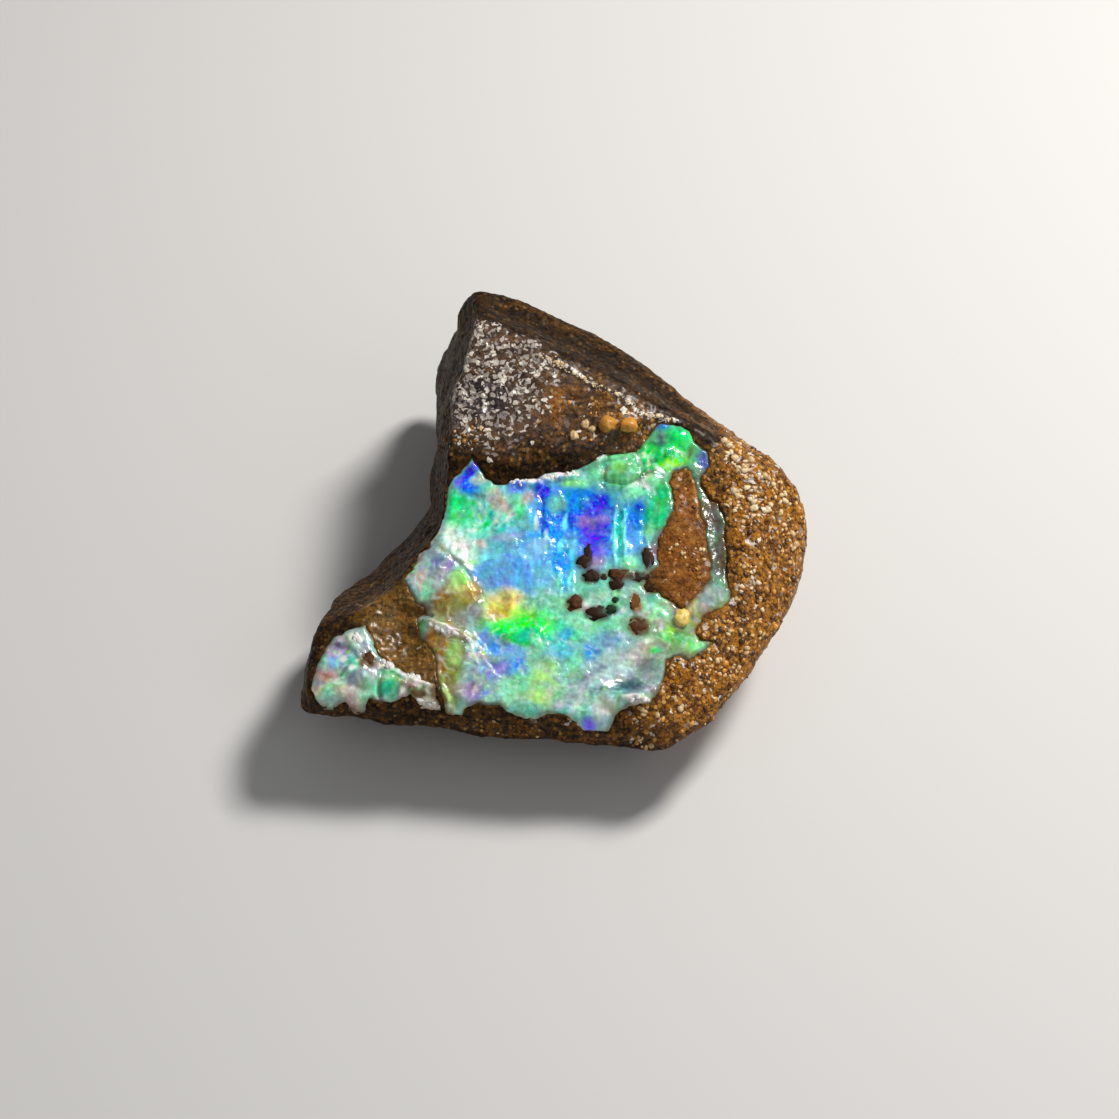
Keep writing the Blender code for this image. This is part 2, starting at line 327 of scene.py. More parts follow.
OPAL_OUTLINES = (
    Outline(
        "main seam",
        (
            (-2.75, 2.2), (-2.5, 1.9), (-2.3, 1.6), (-2.05, 1.35), (-1.65, 1.4), (-1.45, 1.55), (-0.7, 1.6),
            (-0.4, 1.75), (0.65, 1.9), (1.15, 2.2), (1.55, 2.45), (2.5, 2.55), (2.8, 2.9), (3.0, 3.15),
            (3.25, 3.5), (4.0, 3.45), (4.3, 3.25), (4.4, 2.9), (4.85, 2.5), (4.9, 2.05), (4.65, 1.65),
            (4.6, 1.4), (4.85, 0.95), (5.15, 0.75), (5.35, 0.3), (5.42, -0.5), (5.4, -1.2), (5.4, -1.9),
            (5.55, -2.25), (5.45, -2.6), (5.15, -2.85), (4.65, -3.1), (4.4, -3.5), (4.5, -3.85),
            (4.9, -3.95), (4.7, -4.25), (4.15, -4.55), (3.75, -4.4), (3.45, -4.55), (3.3, -5.3),
            (3.05, -5.8), (2.9, -6.0), (2.25, -6.1), (1.95, -6.25), (1.7, -6.6), (1.45, -6.95), (1.0, -6.9),
            (0.75, -6.65), (0.1, -6.3), (-0.7, -6.45), (-1.25, -6.35), (-1.8, -6.1), (-2.45, -6.0),
            (-2.95, -6.1), (-3.2, -6.45), (-3.5, -6.25), (-3.8, -4.95), (-3.9, -4.4), (-4.15, -4.0),
            (-4.4, -3.65), (-4.5, -3.05), (-4.25, -2.8), (-4.5, -2.65), (-4.7, -2.2), (-4.95, -1.8),
            (-4.65, -1.5), (-4.45, -0.85), (-4.1, -0.7), (-4.1, -0.05), (-4.0, 0.7), (-3.85, 1.15),
            (-3.3, 1.65),
        ),
    ),
    Outline(
        "tip",
        (
            (-6.65, -3.55), (-7.1, -3.75), (-7.35, -4.1), (-7.5, -4.55), (-7.75, -5.1), (-7.8, -5.4),
            (-7.6, -5.85), (-7.1, -6.0), (-6.7, -5.9), (-6.35, -6.1), (-6.1, -6.15), (-5.9, -5.85),
            (-5.25, -5.95), (-4.6, -5.7), (-4.35, -5.95), (-3.7, -6.1), (-3.85, -5.3), (-4.3, -5.2),
            (-4.95, -4.8), (-5.6, -4.4), (-5.8, -4.1), (-5.85, -3.7), (-6.1, -3.35), (-6.3, -3.45),
        ),
    ),
)
LENS_OUTLINE = Outline(
    "ironstone lens",
    (
        (4.15, 1.95), (4.4, 1.55), (4.5, 1.1), (4.52, 0.55), (4.7, 0.0), (4.75, -0.75), (4.85, -1.4),
        (4.8, -1.85), (4.55, -2.25), (4.2, -2.55), (4.0, -2.85), (3.8, -2.75), (3.45, -2.55), (3.2, -2.3),
        (2.8, -2.3), (2.7, -2.05), (2.95, -1.7), (3.25, -1.4), (3.15, -0.95), (3.2, -0.5), (3.4, -0.1),
        (3.75, 0.45), (3.75, 0.75), (3.7, 1.05), (3.6, 1.45), (3.7, 1.8),
    ),
)


@dataclass(frozen=True)
class Swell:
    """An oval lump on the face, or a scallop where its rise is negative."""

    name: str
    oval: Oval
    rise: float

    def height(self, u: Field, v: Field) -> Field:
        """Height that the swell adds."""
        return self.rise * self.oval.dome(u, v)


@dataclass(frozen=True)
class Crest:
    """A long ridge on the face, or a groove where its rise is negative, along a bent line."""

    name: str
    line: tuple[Point2, ...]
    half_width: float
    rise: float

    def height(self, u: Field, v: Field) -> Field:
        """Height that the crest adds."""
        return self.rise * spread(distance_to_line(u, v, self.line)[0] / self.half_width)


@dataclass(frozen=True)
class Drop:
    """A small ledge: the ground to the right of its line, seen along it, lies lower."""

    name: str
    line: tuple[Point2, ...]
    run: float
    reach: float
    depth: float

    def height(self, u: Field, v: Field) -> Field:
        """Height that the ledge takes away, as a negative number."""
        away, side = distance_to_line(u, v, self.line)
        low = ease(0.0, self.run, away) * (1.0 - ease(0.3 * self.reach, self.reach, away))
        return np.where((side > 0.0) | (away > self.reach), 0.0, -self.depth * low)


FACE_FORMS = (
    Swell("scallop at the left edge", Oval(-2.35, 0.15, 1.45, 1.25, 20.0), -0.26),
    Swell("scallop in the lower right corner", Oval(2.35, -4.95, 1.05, 0.85, 15.0), -0.30),
    Swell("bowl of the green fold", Oval(-0.9, -3.1, 1.7, 1.0, -15.0), -0.16),
    Swell("blue hollow", Oval(0.6, -0.4, 1.8, 1.3, 80.0), -0.12),
    Swell("brown hollow", Oval(-4.9, -3.7, 1.6, 1.2, 115.0), -0.50),
    Swell("raised opal tip", Oval(-6.85, -4.95, 1.35, 1.15, 60.0), 0.22),
    Swell("shard", Oval(-4.1, -1.75, 0.8, 0.65, 60.0), 0.10),
    Swell("ironstone lens", Oval(4.1, -0.6, 2.3, 1.1, 105.0), 0.16),
    Swell("sandy dome", Oval(6.2, -1.0, 3.6, 2.0, 95.0), 0.12),
    Swell("round opal lump", Oval(2.11, 1.94, 0.62, 0.56), 0.20),
    Swell("green lump, top", Oval(3.96, 3.02, 0.5, 0.45), 0.16),
    Swell("green lump, right", Oval(3.5, 2.4, 0.5, 0.4, 30.0), 0.12),
    Swell("green lump, middle", Oval(3.0, 1.55, 0.5, 0.4, 60.0), 0.12),
    Swell("green lump, left", Oval(1.3, 1.75, 0.5, 0.35, 30.0), 0.12),
    Crest("opal wedge beside the hollow", ((-6.2, -5.0), (-5.0, -5.35), (-3.9, -5.8)), 0.55, 0.24),
    Crest("lip of the lower seam", ((-4.2, -3.3), (-3.5, -3.5), (-3.0, -3.75), (-2.4, -4.4)), 0.35, 0.08),
    Crest("rim of the corner scallop", ((1.6, -5.85), (2.3, -5.95), (3.0, -5.6)), 0.40, 0.16),
    Drop(
        "pocket above the lower seam",
        ((-2.4, -4.4), (-3.0, -3.75), (-3.5, -3.5), (-4.2, -3.3)),
        0.35, 1.2, 0.15,
    ),
    Drop("lower edge of the opal", ((-3.2, -6.2), (-1.2, -6.3), (0.6, -6.45), (2.0, -6.2)), 0.25, 1.6, 0.12),
)


def flat(uvw: Field) -> Field:
    """Places on the face with their heights left out, so that a pattern doesn't change with the relief."""
    return uvw * np.array((1.0, 1.0, 0.0))


# ---------------------------------------------------------------- grains that can be told apart


class Stain(Shade):
    """How iron has stained a grain, and the creams and whites of grains that stand for painted glints."""

    DARK = "#301C0E"
    BROWN = "#5A3616"
    TAWNY = "#7C4E1C"
    AMBER = "#9A5F1E"
    GOLD = "#E09C40"
    CREAM = "#E6C490"
    MOSS = "#123018"
    HONEY = "#A8712C"
    # painted highlight: cream-white of grains set where the sand and the ridge glint; on the sand it is also
    # the pale of quartz grains
    FROST = "#F4DDB2"
    # painted highlight: the pure white of chips set where the opal glints
    HIGHLIGHT_WHITE = "#FFFFFF"
    YELLOW = "#F2D474"


@dataclass(frozen=True)
class Grain:
    """One grain: its oval on the face and its stain."""

    name: str
    oval: Oval
    stain: Stain


DARK_GRAINS = (
    Grain("foot of the spike", Oval(0.88, -1.25, 0.26, 0.24), Stain.DARK),
    Grain("spike", Oval(0.98, -0.92, 0.27, 0.11, 95.0), Stain.DARK),
    Grain("dark grain left of the pair", Oval(1.1, -1.78, 0.26, 0.24), Stain.DARK),
    Grain("crumb", Oval(1.48, -1.78, 0.1, 0.1), Stain.DARK),
    Grain("brown grain", Oval(2.0, -1.7, 0.32, 0.19), Stain.BROWN),
    Grain("dark grain under it", Oval(1.88, -2.0, 0.22, 0.2), Stain.DARK),
    Grain("long dark grain", Oval(2.88, -1.14, 0.34, 0.17, 90.0), Stain.DARK),
    Grain("bridge to the lens", Oval(2.56, -1.78, 0.3, 0.18, 10.0), Stain.DARK),
    Grain("honey grain", Oval(0.56, -2.66, 0.25, 0.24), Stain.BROWN),
    Grain("black oval", Oval(1.22, -2.99, 0.36, 0.22, -10.0), Stain.DARK),
    Grain("moss", Oval(1.7, -2.89, 0.19, 0.17), Stain.MOSS),
    Grain("moss crumb", Oval(1.82, -2.56, 0.1, 0.1), Stain.MOSS),
    Grain("tawny grain by the moss", Oval(2.44, -2.66, 0.3, 0.18, 90.0), Stain.TAWNY),
    Grain("large brown grain", Oval(2.58, -3.42, 0.32, 0.27, 110.0), Stain.BROWN),
    Grain("grain in the tip", Oval(-5.97, -4.63, 0.27, 0.22, 90.0), Stain.BROWN),
)
PALE_GRAINS = (
    Grain("yellow grain", Oval(3.94, -3.16, 0.31, 0.26, 90.0), Stain.YELLOW),
    Grain("orange grain, left", Oval(1.62, 3.23, 0.29, 0.29), Stain.GOLD),
    Grain("orange grain, right", Oval(2.3, 3.25, 0.29, 0.27), Stain.GOLD),
    Grain("cream grain", Oval(0.89, 3.27, 0.17, 0.13, 90.0), Stain.CREAM),
    Grain("second cream grain", Oval(1.12, 3.09, 0.14, 0.12), Stain.CREAM),
    Grain("tan grain", Oval(0.53, 2.88, 0.17, 0.13, 90.0), Stain.CREAM),
    Grain("amber crumb", Oval(2.15, 2.92, 0.14, 0.14), Stain.AMBER),
)


# ---------------------------------------------------------------- colour of the opal


@dataclass(frozen=True)
class Domain:
    """A patch of the opal that plays in one colour."""

    oval: Oval
    hue: Hue
    strength: float


# The domains in the order in which they are laid, coat over coat. A row is the oval's u, v, half length, half
# width and turn, and then the hue and its strength.
DOMAIN_COATS = {
    "broad fields": (
        (-2.25, 0.45, 2.05, 1.56, 0, "SEA", 1), (0.8, 0.15, 2.37, 1.7, 0, "BAY", 1),
        (2.85, 2.15, 2.26, 1.21, 24, "LEAF", 1), (-1.2, -1.6, 2.11, 0.88, 4, "SKY", 0.9),
        (1.55, -2.2, 2.24, 0.88, -4, "AQUA", 0.9), (-0.7, -3.55, 2.24, 1.16, -4, "MINT", 0.9),
        (-2.8, -4.75, 1.79, 1.56, 0, "PEARL", 0.9), (0.15, -4.9, 2.11, 1.5, -6, "AQUA", 0.95),
        (2.2, -5.1, 1.47, 1.29, 10, "PEARL", 1), (4.3, -3.25, 1.79, 1.56, 0, "OLIVE", 1),
        (-4.25, -1.4, 0.95, 1.47, 80, "PEARL", 0.9),
    ),
    "upper part": (
        (-0.15, -0.25, 0.29, 1.02, 0, "AZURE", 0.7), (-1.7, 0.45, 0.9, 0.54, 20, "MINT", 0.6),
        (-3.2, 0.55, 0.57, 0.39, -60, "GREEN", 1), (-2.8, -0.1, 0.45, 0.34, 0, "MINT", 0.8),
        (-1.85, 0.15, 0.45, 0.27, 0, "CYAN", 0.6), (-0.95, 0.1, 0.45, 0.31, 10, "AQUA", 0.8),
        (1.05, 1.6, 0.77, 0.24, 14, "MINT", 0.8), (0.45, 1.45, 0.38, 0.14, 10, "LIME", 0.5),
        (2.75, 1.3, 0.72, 0.27, 30, "MINT", 0.9), (2, 1.95, 0.54, 0.48, 0, "MINT", 0.8),
        (2.05, 1.95, 0.29, 0.24, 0, "LIME", 0.5), (1.55, 1.75, 0.16, 0.3, -30, "UMBER", 0.6),
        (3.25, 2.35, 0.64, 0.44, 20, "EMERALD", 0.95), (4, 2.9, 0.48, 0.48, 0, "GREEN", 1),
        (4.3, 2.5, 0.13, 0.31, -10, "UMBER", 0.6), (3.7, 2.1, 0.48, 0.2, 15, "LIME", 0.9),
        (3.05, 1.75, 0.45, 0.13, 25, "UMBER", 0.6), (3.25, 0.65, 0.74, 0.39, 70, "EMERALD", 0.8),
        (2.95, -0.15, 0.29, 0.31, 0, "MINT", 0.9), (3.3, 2.9, 0.22, 0.27, 0, "SLATE", 0.8),
        (3.4, 3.35, 0.26, 0.17, 0, "COBALT", 0.6),
    ),
    "right side and bottom": (
        (4.8, 1.3, 0.68, 0.32, -75, "SMOKE", 1), (4.75, 2.25, 0.47, 0.19, -75, "DUSK", 0.9),
        (4.95, 0.25, 0.88, 0.45, -75, "SMOKE", 1), (5.15, -1.05, 0.88, 0.48, 90, "SMOKE", 1),
        (5.15, -2.2, 0.39, 0.3, 30, "MINT", 0.8), (4.85, -2.4, 0.59, 0.34, 30, "PEARL", 0.9),
        (4.15, -2.55, 0.29, 0.37, 0, "AMBER", 0.7), (3.75, -3.1, 0.26, 0.27, 0, "UMBER", 0.6),
        (3.5, -3.7, 0.26, 0.34, 0, "LIME", 0.8), (4.05, -3.9, 0.45, 0.34, -20, "GREEN", 0.6),
        (4.55, -4.15, 0.29, 0.2, 0, "MINT", 0.8), (4.65, -3.5, 0.29, 0.24, 0, "OCHRE", 0.8),
        (3.2, -2.95, 0.58, 0.27, -10, "MINT", 0.7), (3.1, -2.45, 0.32, 0.24, 0, "TEAL", 0.8),
        (-0.05, -4.15, 0.51, 0.41, 0, "TEAL", 0.7), (1, -6.6, 0.26, 0.2, 0, "VIOLET", 0.9),
        (1.35, -6.25, 0.26, 0.41, 0, "MILK", 0.9), (0.1, -6, 0.32, 0.2, 0, "LILAC", 0.7),
    ),
    "lower left pockets and the foot of the tip": (
        (-1.35, -5.55, 0.45, 0.41, 0, "MINT", 0.7), (-1.45, -4.7, 0.29, 0.34, 0, "SKY", 0.8),
        (-3, -4.3, 0.45, 0.41, 0, "MILK", 0.8), (-3.3, -4.85, 0.48, 0.26, 90, "LIME", 0.6),
        (-2.5, -3.9, 0.39, 0.27, 20, "OLIVE", 0.8), (-3.35, -2.55, 0.97, 0.74, 20, "HONEY", 1),
        (-2.8, -2.2, 0.35, 0.34, 0, "AMBER", 0.85), (-3.1, -1.8, 0.29, 0.27, 0, "LIME", 0.7),
        (-2.7, -3.05, 0.34, 0.39, 70, "OLIVE", 0.8), (-3.85, -3.9, 0.38, 0.48, 0, "UMBER", 1),
        (-3, -3.15, 0.53, 0.23, -55, "MILK", 0.7), (-4, 0.15, 1.02, 0.19, 88, "ASH", 1),
        (-6.5, -5.05, 1.73, 1.36, 0, "PEARL", 1), (-4.8, -5.35, 0.84, 0.27, -14, "HONEY", 0.7),
        (-4.4, -5.3, 0.45, 0.17, -14, "CREAM", 0.6), (-4.3, -5.8, 0.77, 0.27, -8, "UMBER", 0.95),
    ),
    "bubbles and streaks, upper left and blue": (
        (-2.55, 2.1, 0.26, 0.2, 40, "VIOLET", 0.9), (-2.85, 1.75, 0.3, 0.23, 50, "INDIGO", 1),
        (-2.8, 1.25, 0.36, 0.27, -30, "COBALT", 0.95), (-3.2, 1.5, 0.23, 0.2, 50, "VIOLET", 0.8),
        (-2.45, 1.55, 0.29, 0.17, 0, "CREAM", 0.6), (-2.8, -1.25, 0.22, 0.2, 0, "LIME", 0.9),
        (-2.45, -0.6, 0.22, 0.2, 0, "ROSE", 0.8), (-2.25, -1.05, 0.48, 0.14, 5, "CYAN", 0.9),
        (-2.5, 0.65, 0.3, 0.16, -50, "TEAL", 0.8), (-2.15, 0.2, 0.44, 0.2, 60, "JADE", 0.4),
        (-1.3, 0.55, 0.33, 0.2, 50, "MINT", 0.8), (-1.6, -0.4, 0.51, 0.17, 5, "LILAC", 0.7),
        (-1.75, 0.75, 0.46, 0.16, -48, "ROSE", 1), (-2, 1.05, 0.29, 0.17, -10, "CREAM", 0.7),
        (-0.95, 0.9, 0.26, 0.24, 0, "ROSE", 0.8), (-1.3, 1.3, 0.32, 0.2, 0, "VIOLET", 0.7),
        (-0.5, 1.1, 0.29, 0.31, 0, "INDIGO", 1), (-0.5, 0.2, 0.61, 0.14, 90, "INDIGO", 0.8),
        (-0.8, 0.3, 0.54, 0.19, 80, "SKY", 0.8), (-0.95, -0.55, 0.45, 0.3, 20, "BAY", 0.8),
        (0, 0.65, 0.32, 0.34, 0, "AQUA", 0.9), (0.25, 0.25, 0.35, 0.34, 0, "COBALT", 0.9),
        (0.8, 0.75, 0.51, 0.37, 0, "AZURE", 1), (1.05, 0.85, 0.19, 0.14, 0, "CYAN", 0.7),
        (1.45, 0.75, 0.22, 0.34, 0, "INDIGO", 1), (1.15, -0.3, 1.22, 0.51, 90, "VIOLET", 1),
        (1.35, -0.25, 0.48, 0.29, 90, "INDIGO", 0.75), (1.1, 0.1, 0.54, 0.14, 4, "LILAC", 0.75),
        (1.3, -1.15, 0.48, 0.19, 80, "LILAC", 0.6), (0.4, -0.55, 0.48, 0.26, 80, "SKY", 0.9),
        (0.2, -1.2, 0.51, 0.38, 90, "AZURE", 1), (-0.55, -0.75, 0.42, 0.27, 0, "MILK", 0.75),
        (-1.15, -1.4, 1.15, 0.82, 0, "PERIWINKLE", 0.85), (-1.15, -1.5, 0.51, 0.34, 0, "BAY", 0.5),
        (2, -0.3, 0.92, 0.16, 90, "TEAL", 1), (1.85, -0.45, 0.92, 0.08, 90, "CYAN", 1),
        (2.15, -0.4, 0.82, 0.08, 90, "CYAN", 1), (2.5, 0.2, 0.51, 0.29, 90, "COBALT", 1),
        (2.6, 0.45, 0.31, 0.16, 90, "INDIGO", 0.7), (2.45, -0.55, 0.41, 0.32, 90, "SKY", 0.7),
        (2.3, -1.3, 0.26, 0.24, 0, "MINT", 0.9), (3.05, -0.95, 0.34, 0.16, 70, "LILAC", 0.8),
        (0.1, -2, 0.48, 0.08, 90, "CYAN", 1), (0.45, -1.95, 0.41, 0.07, 90, "CYAN", 0.9),
        (0.25, -1.95, 0.34, 0.13, 90, "AZURE", 0.8),
    ),
    "fold": (
        (-2.1, -2.7, 0.3, 0.26, 60, "ROSE", 0.8), (-1.75, -2.75, 0.64, 0.48, -10, "YELLOW", 1),
        (-1.9, -3.05, 0.39, 0.3, -30, "AMBER", 0.6), (-1.1, -3, 0.84, 0.27, -14, "LIME", 0.8),
        (0.2, -3.3, 0.72, 0.37, -38, "JADE", 0.9), (-0.45, -3.3, 0.4, 0.36, -60, "NEON", 1),
        (-1.35, -3.6, 1.03, 0.37, -12, "NEON", 1), (-1, -3.8, 0.77, 0.27, -10, "EMERALD", 0.8),
        (-0.95, -3.7, 0.42, 0.2, 15, "TEAL", 0.85), (-0.4, -4.05, 0.58, 0.2, -25, "MINT", 0.8),
        (0.1, -4.15, 0.52, 0.23, -35, "JADE", 0.8), (0.45, -3.35, 0.52, 0.17, -35, "MINT", 0.95),
        (0.25, -3.7, 0.32, 0.2, 20, "BAY", 0.6), (-2.4, -3.9, 0.54, 0.19, 80, "PERIWINKLE", 0.9),
        (-1.55, -4.25, 0.64, 0.24, -15, "PERIWINKLE", 0.9), (-2.9, -4.15, 0.47, 0.08, -60, "PALE", 0.9),
        (-2.6, -4.4, 0.44, 0.07, -70, "PALE", 0.9), (-3, -4.55, 0.33, 0.07, -40, "PALE", 0.8),
    ),
    "lower seam and corner scallop": (
        (-2, -4.85, 0.48, 0.34, 10, "VIOLET", 0.6), (-1.25, -4.75, 0.38, 0.27, 0, "BAY", 0.6),
        (-2.4, -5.6, 0.32, 0.2, 0, "VIOLET", 0.8), (-2.8, -5.55, 0.54, 0.31, 0, "MAUVE", 0.8),
        (-0.4, -5.2, 0.75, 0.45, 80, "PISTACHIO", 0.75), (-0.55, -5.75, 0.58, 0.31, -10, "PISTACHIO", 0.8),
        (0.6, -4.75, 0.22, 0.34, 0, "MINT", 0.9), (1.05, -4.3, 0.32, 0.34, 0, "BAY", 0.8),
        (1.65, -3.8, 0.45, 0.31, 0, "SLATE", 0.35), (2.4, -4.45, 0.72, 0.3, 32, "CREAM", 0.75),
        # the dark slate in the corner scallop is partly the opal's grey-blue and partly painted shade in its
        # hollow
        (1.45, -5, 1.18, 0.43, 40, "MILK", 1), (2.3, -5.35, 0.58, 0.37, 14, "SLATE", 1),
        (1.9, -5.6, 0.32, 0.24, 0, "TEAL", 0.4), (0.65, -5.8, 0.45, 0.27, 0, "PEARL", 0.9),
        (1.45, -6.1, 0.32, 0.27, 0, "CREAM", 0.8), (-2.75, -3, 0.41, 0.29, 70, "PEARL", 0.8),
    ),
    "tip and wedge": (
        (-6.7, -3.9, 0.72, 0.3, 40, "MAUVE", 0.8), (-6.3, -4.15, 0.38, 0.31, 0, "PEARL", 0.8),
        (-6.9, -4.4, 0.42, 0.34, 0, "LILAC", 0.8), (-7.05, -4.65, 0.26, 0.17, 0, "PERIWINKLE", 0.8),
        (-7.4, -4.65, 0.24, 0.19, 80, "MINT", 1), (-6.45, -4.7, 0.26, 0.31, 0, "JADE", 0.8),
        (-7.35, -5.1, 0.45, 0.24, 0, "ROSE", 0.7), (-7.3, -5.1, 0.26, 0.14, 0, "RUSSET", 0.6),
        (-7.15, -5.5, 0.45, 0.17, 5, "LIME", 0.5), (-7.2, -5.65, 0.38, 0.14, 5, "MINT", 0.8),
        (-6.65, -5.6, 0.38, 0.2, 0, "CREAM", 0.8), (-7.7, -5.5, 0.2, 0.32, 80, "CREAM", 0.9),
        (-6.4, -5.9, 0.29, 0.24, -10, "ROSE", 0.7), (-5.85, -5.5, 0.37, 0.3, 50, "MINT", 0.9),
        (-5.55, -5.5, 0.1, 0.37, 0, "UMBER", 0.9), (-5.3, -5.5, 0.27, 0.33, 60, "JADE", 0.8),
        (-5.3, -5.1, 0.29, 0.24, 0, "GREEN", 0.6), (-4.95, -4.9, 0.52, 0.13, -24, "MINT", 0.9),
        (-4.3, -5.2, 0.45, 0.13, -22, "CREAM", 0.8), (-4.7, -5.55, 0.32, 0.2, 0, "UMBER", 0.7),
    ),
    "shard, strip and cracks": (
        (-3.95, -1.7, 0.87, 0.39, 65, "PEARL", 1), (-3.85, -1.3, 0.34, 0.23, 60, "DUSK", 0.7),
        (-4.35, -1.9, 0.27, 0.23, 60, "ROSE", 0.9), (-4.15, -2.2, 0.37, 0.13, 80, "MINT", 0.9),
        (-3.5, -1.4, 0.4, 0.13, 60, "LILAC", 0.8), (-4.7, -1.5, 0.29, 0.17, 30, "LIME", 0.7),
        (-4.2, -2.65, 0.26, 0.17, 0, "SLATE", 0.7), (-2.9, -2.35, 0.35, 0.27, -20, "AMBER", 0.9),
        (-3.25, -1.9, 0.16, 0.31, 10, "PISTACHIO", 0.8), (-4.35, -3.45, 0.13, 0.41, 0, "LEAF", 0.9),
        (-3.95, -3.7, 0.19, 0.41, 0, "AMBER", 0.8), (-3.8, -4.35, 0.19, 0.24, 0, "LIME", 0.8),
        (-3.5, -4.5, 1.63, 0.48, 88, "HONEY", 1), (-3.2, -4.4, 1.15, 0.32, 80, "FERN", 0.9),
        (-3.5, -5.9, 0.54, 0.32, 70, "FERN", 0.8), (-3.5, -5.55, 0.61, 0.11, -70, "PISTACHIO", 1),
        (-3.25, -4.4, 0.26, 0.48, 0, "PISTACHIO", 0.6), (-3.05, -2.55, 0.65, 0.37, 30, "OLIVE", 0.8),
        (-3.25, -2.2, 0.29, 0.2, 0, "PISTACHIO", 0.5), (-3.35, -1.05, 0.82, 0.09, -42, "UMBER", 0.9),
        (-2.45, -2.2, 0.54, 0.05, -62, "OLIVE", 0.7), (-4.3, -2.9, 0.32, 0.08, -20, "UMBER", 0.9),
    ),
    # painted highlights: near-white patches where the opal's ledges, rims, wedge and tip glint
    "glints": (
        (-5.55, -4.7, 0.23, 0.13, -25, "FROST", 0.9), (-4.65, -5.1, 0.71, 0.13, -24, "FROST", 1),
        (-4.05, -5.55, 0.1, 0.27, 0, "FROST", 0.7), (-4.05, -6, 0.42, 0.15, -4, "FROST", 1),
        (-4.8, -5.7, 0.16, 0.2, 0, "FROST", 0.7), (-3.5, -3.55, 0.58, 0.13, -27, "FROST", 1),
        (-2.75, -3.95, 0.29, 0.07, -30, "FROST", 0.8), (-6.3, -3.75, 0.22, 0.15, -10, "FROST", 1),
        (-4.9, -1.8, 0.22, 0.07, 8, "FROST", 0.7), (-4.4, -3.1, 0.13, 0.1, 0, "FROST", 0.6),
        (2.6, -5.9, 0.42, 0.15, -6, "FROST", 1), (-1.4, 1.55, 0.16, 0.12, 0, "FROST", 0.8),
        (-0.85, 1.5, 0.32, 0.12, -14, "FROST", 0.9), (-0.3, 1.6, 0.29, 0.12, -12, "FROST", 0.9),
        (0.25, 1.75, 0.42, 0.12, 8, "FROST", 0.9), (2.65, 1.45, 0.45, 0.1, 24, "PALE", 0.8),
        (1.35, 2.3, 0.19, 0.14, 20, "PALE", 0.8),
    ),
    "veils, deepened hues and crescent": (
        (-2, 0.15, 1.66, 1.02, 0, "CYAN", 0.2), (0.1, -1.3, 1.92, 0.82, 0, "CYAN", 0.22),
        (0.1, -2.9, 1.6, 0.61, 0, "PALE", 0.12), (3.1, -2.55, 1.44, 1.53, 0, "PALE", 0.15),
        (-1.2, -3.25, 0.7, 0.24, 8, "NEON", 0.8), (-0.3, -3.9, 0.65, 0.17, -25, "JADE", 0.7),
        (-1.45, -2.4, 0.45, 0.27, -15, "YELLOW", 0.8), (-1.75, -2.95, 0.3, 0.2, 40, "AMBER", 0.5),
        (-2, -3.95, 0.34, 0.26, 60, "BAY", 0.7), (1.15, 0.85, 0.27, 0.45, 90, "INDIGO", 0.6),
        (3.1, 0.15, 0.41, 0.71, 80, "EMERALD", 0.5), (-3.3, 0.15, 0.26, 0.34, 0, "GREEN", 0.8),
        (-2.75, -5.55, 0.38, 0.34, 0, "LILAC", 0.4), (1.2, -4.95, 0.65, 0.11, 35, "SLATE", 0.6),
        (1.5, -5.55, 0.77, 0.1, 12, "SLATE", 0.5), (1.35, -4.55, 0.85, 0.13, 30, "MILK", 0.6),
        (-3.2, -0.6, 0.83, 0.43, -52, "PALE", 1), (-3.05, -0.5, 0.4, 0.17, -45, "CHALK", 0.25),
        (0.15, -1.2, 0.26, 0.34, 0, "AZURE", 0.9), (0.45, -0.95, 0.13, 0.41, 0, "CYAN", 0.4),
        (1.1, -0.55, 0.26, 0.75, 8, "VIOLET", 0.7), (1.25, -1.3, 0.29, 0.27, 0, "MAUVE", 0.5),
    ),
    "dashes, flecks and mists": (
        (-3.15, 0.85, 0.29, 0.13, 35, "EMERALD", 0.9), (-2.7, 0.75, 0.26, 0.12, -20, "EMERALD", 0.8),
        (-2.85, 0.35, 0.27, 0.11, 50, "GREEN", 0.9), (-2.4, 0.6, 0.23, 0.08, -55, "PALE", 0.9),
        (-2.1, 0.45, 0.27, 0.1, 60, "TEAL", 0.9), (-2.3, 0.1, 0.29, 0.1, 30, "EMERALD", 0.7),
        (-1.9, 0.25, 0.27, 0.08, 65, "PALE", 0.8), (-1.7, -0.05, 0.3, 0.1, 50, "TEAL", 0.8),
        (-1.5, 0.35, 0.24, 0.08, 70, "PALE", 0.8), (-1.2, 0.45, 0.27, 0.1, 75, "GREEN", 0.7),
        (-2.05, 0.75, 0.3, 0.1, -45, "CREAM", 0.8), (-2.55, 1, 0.26, 0.09, -15, "SLATE", 0.6),
        (-1.45, 0.75, 0.23, 0.08, 60, "SLATE", 0.5), (-2.8, -0.1, 0.22, 0.07, 15, "PALE", 0.7),
        (-0.7, 0.15, 0.31, 0.07, 84, "PALE", 0.8), (-0.3, 0.1, 0.34, 0.08, 86, "COBALT", 0.8),
        (0.25, 0.15, 0.31, 0.08, 80, "CYAN", 0.7), (0.1, -0.7, 0.27, 0.08, 86, "CYAN", 0.8),
        (-0.4, -0.35, 0.24, 0.08, 80, "PALE", 0.6), (1, 0.25, 0.64, 0.1, -8, "LILAC", 0.45),
        (1.7, 1.6, 0.45, 0.1, 8, "LEAF", 0.7), (2.25, 2.05, 0.13, 0.31, 0, "LEAF", 0.6),
        (2.9, 1.3, 0.3, 0.09, -40, "PALE", 0.9), (3.3, 1.9, 0.23, 0.08, -50, "PALE", 0.8),
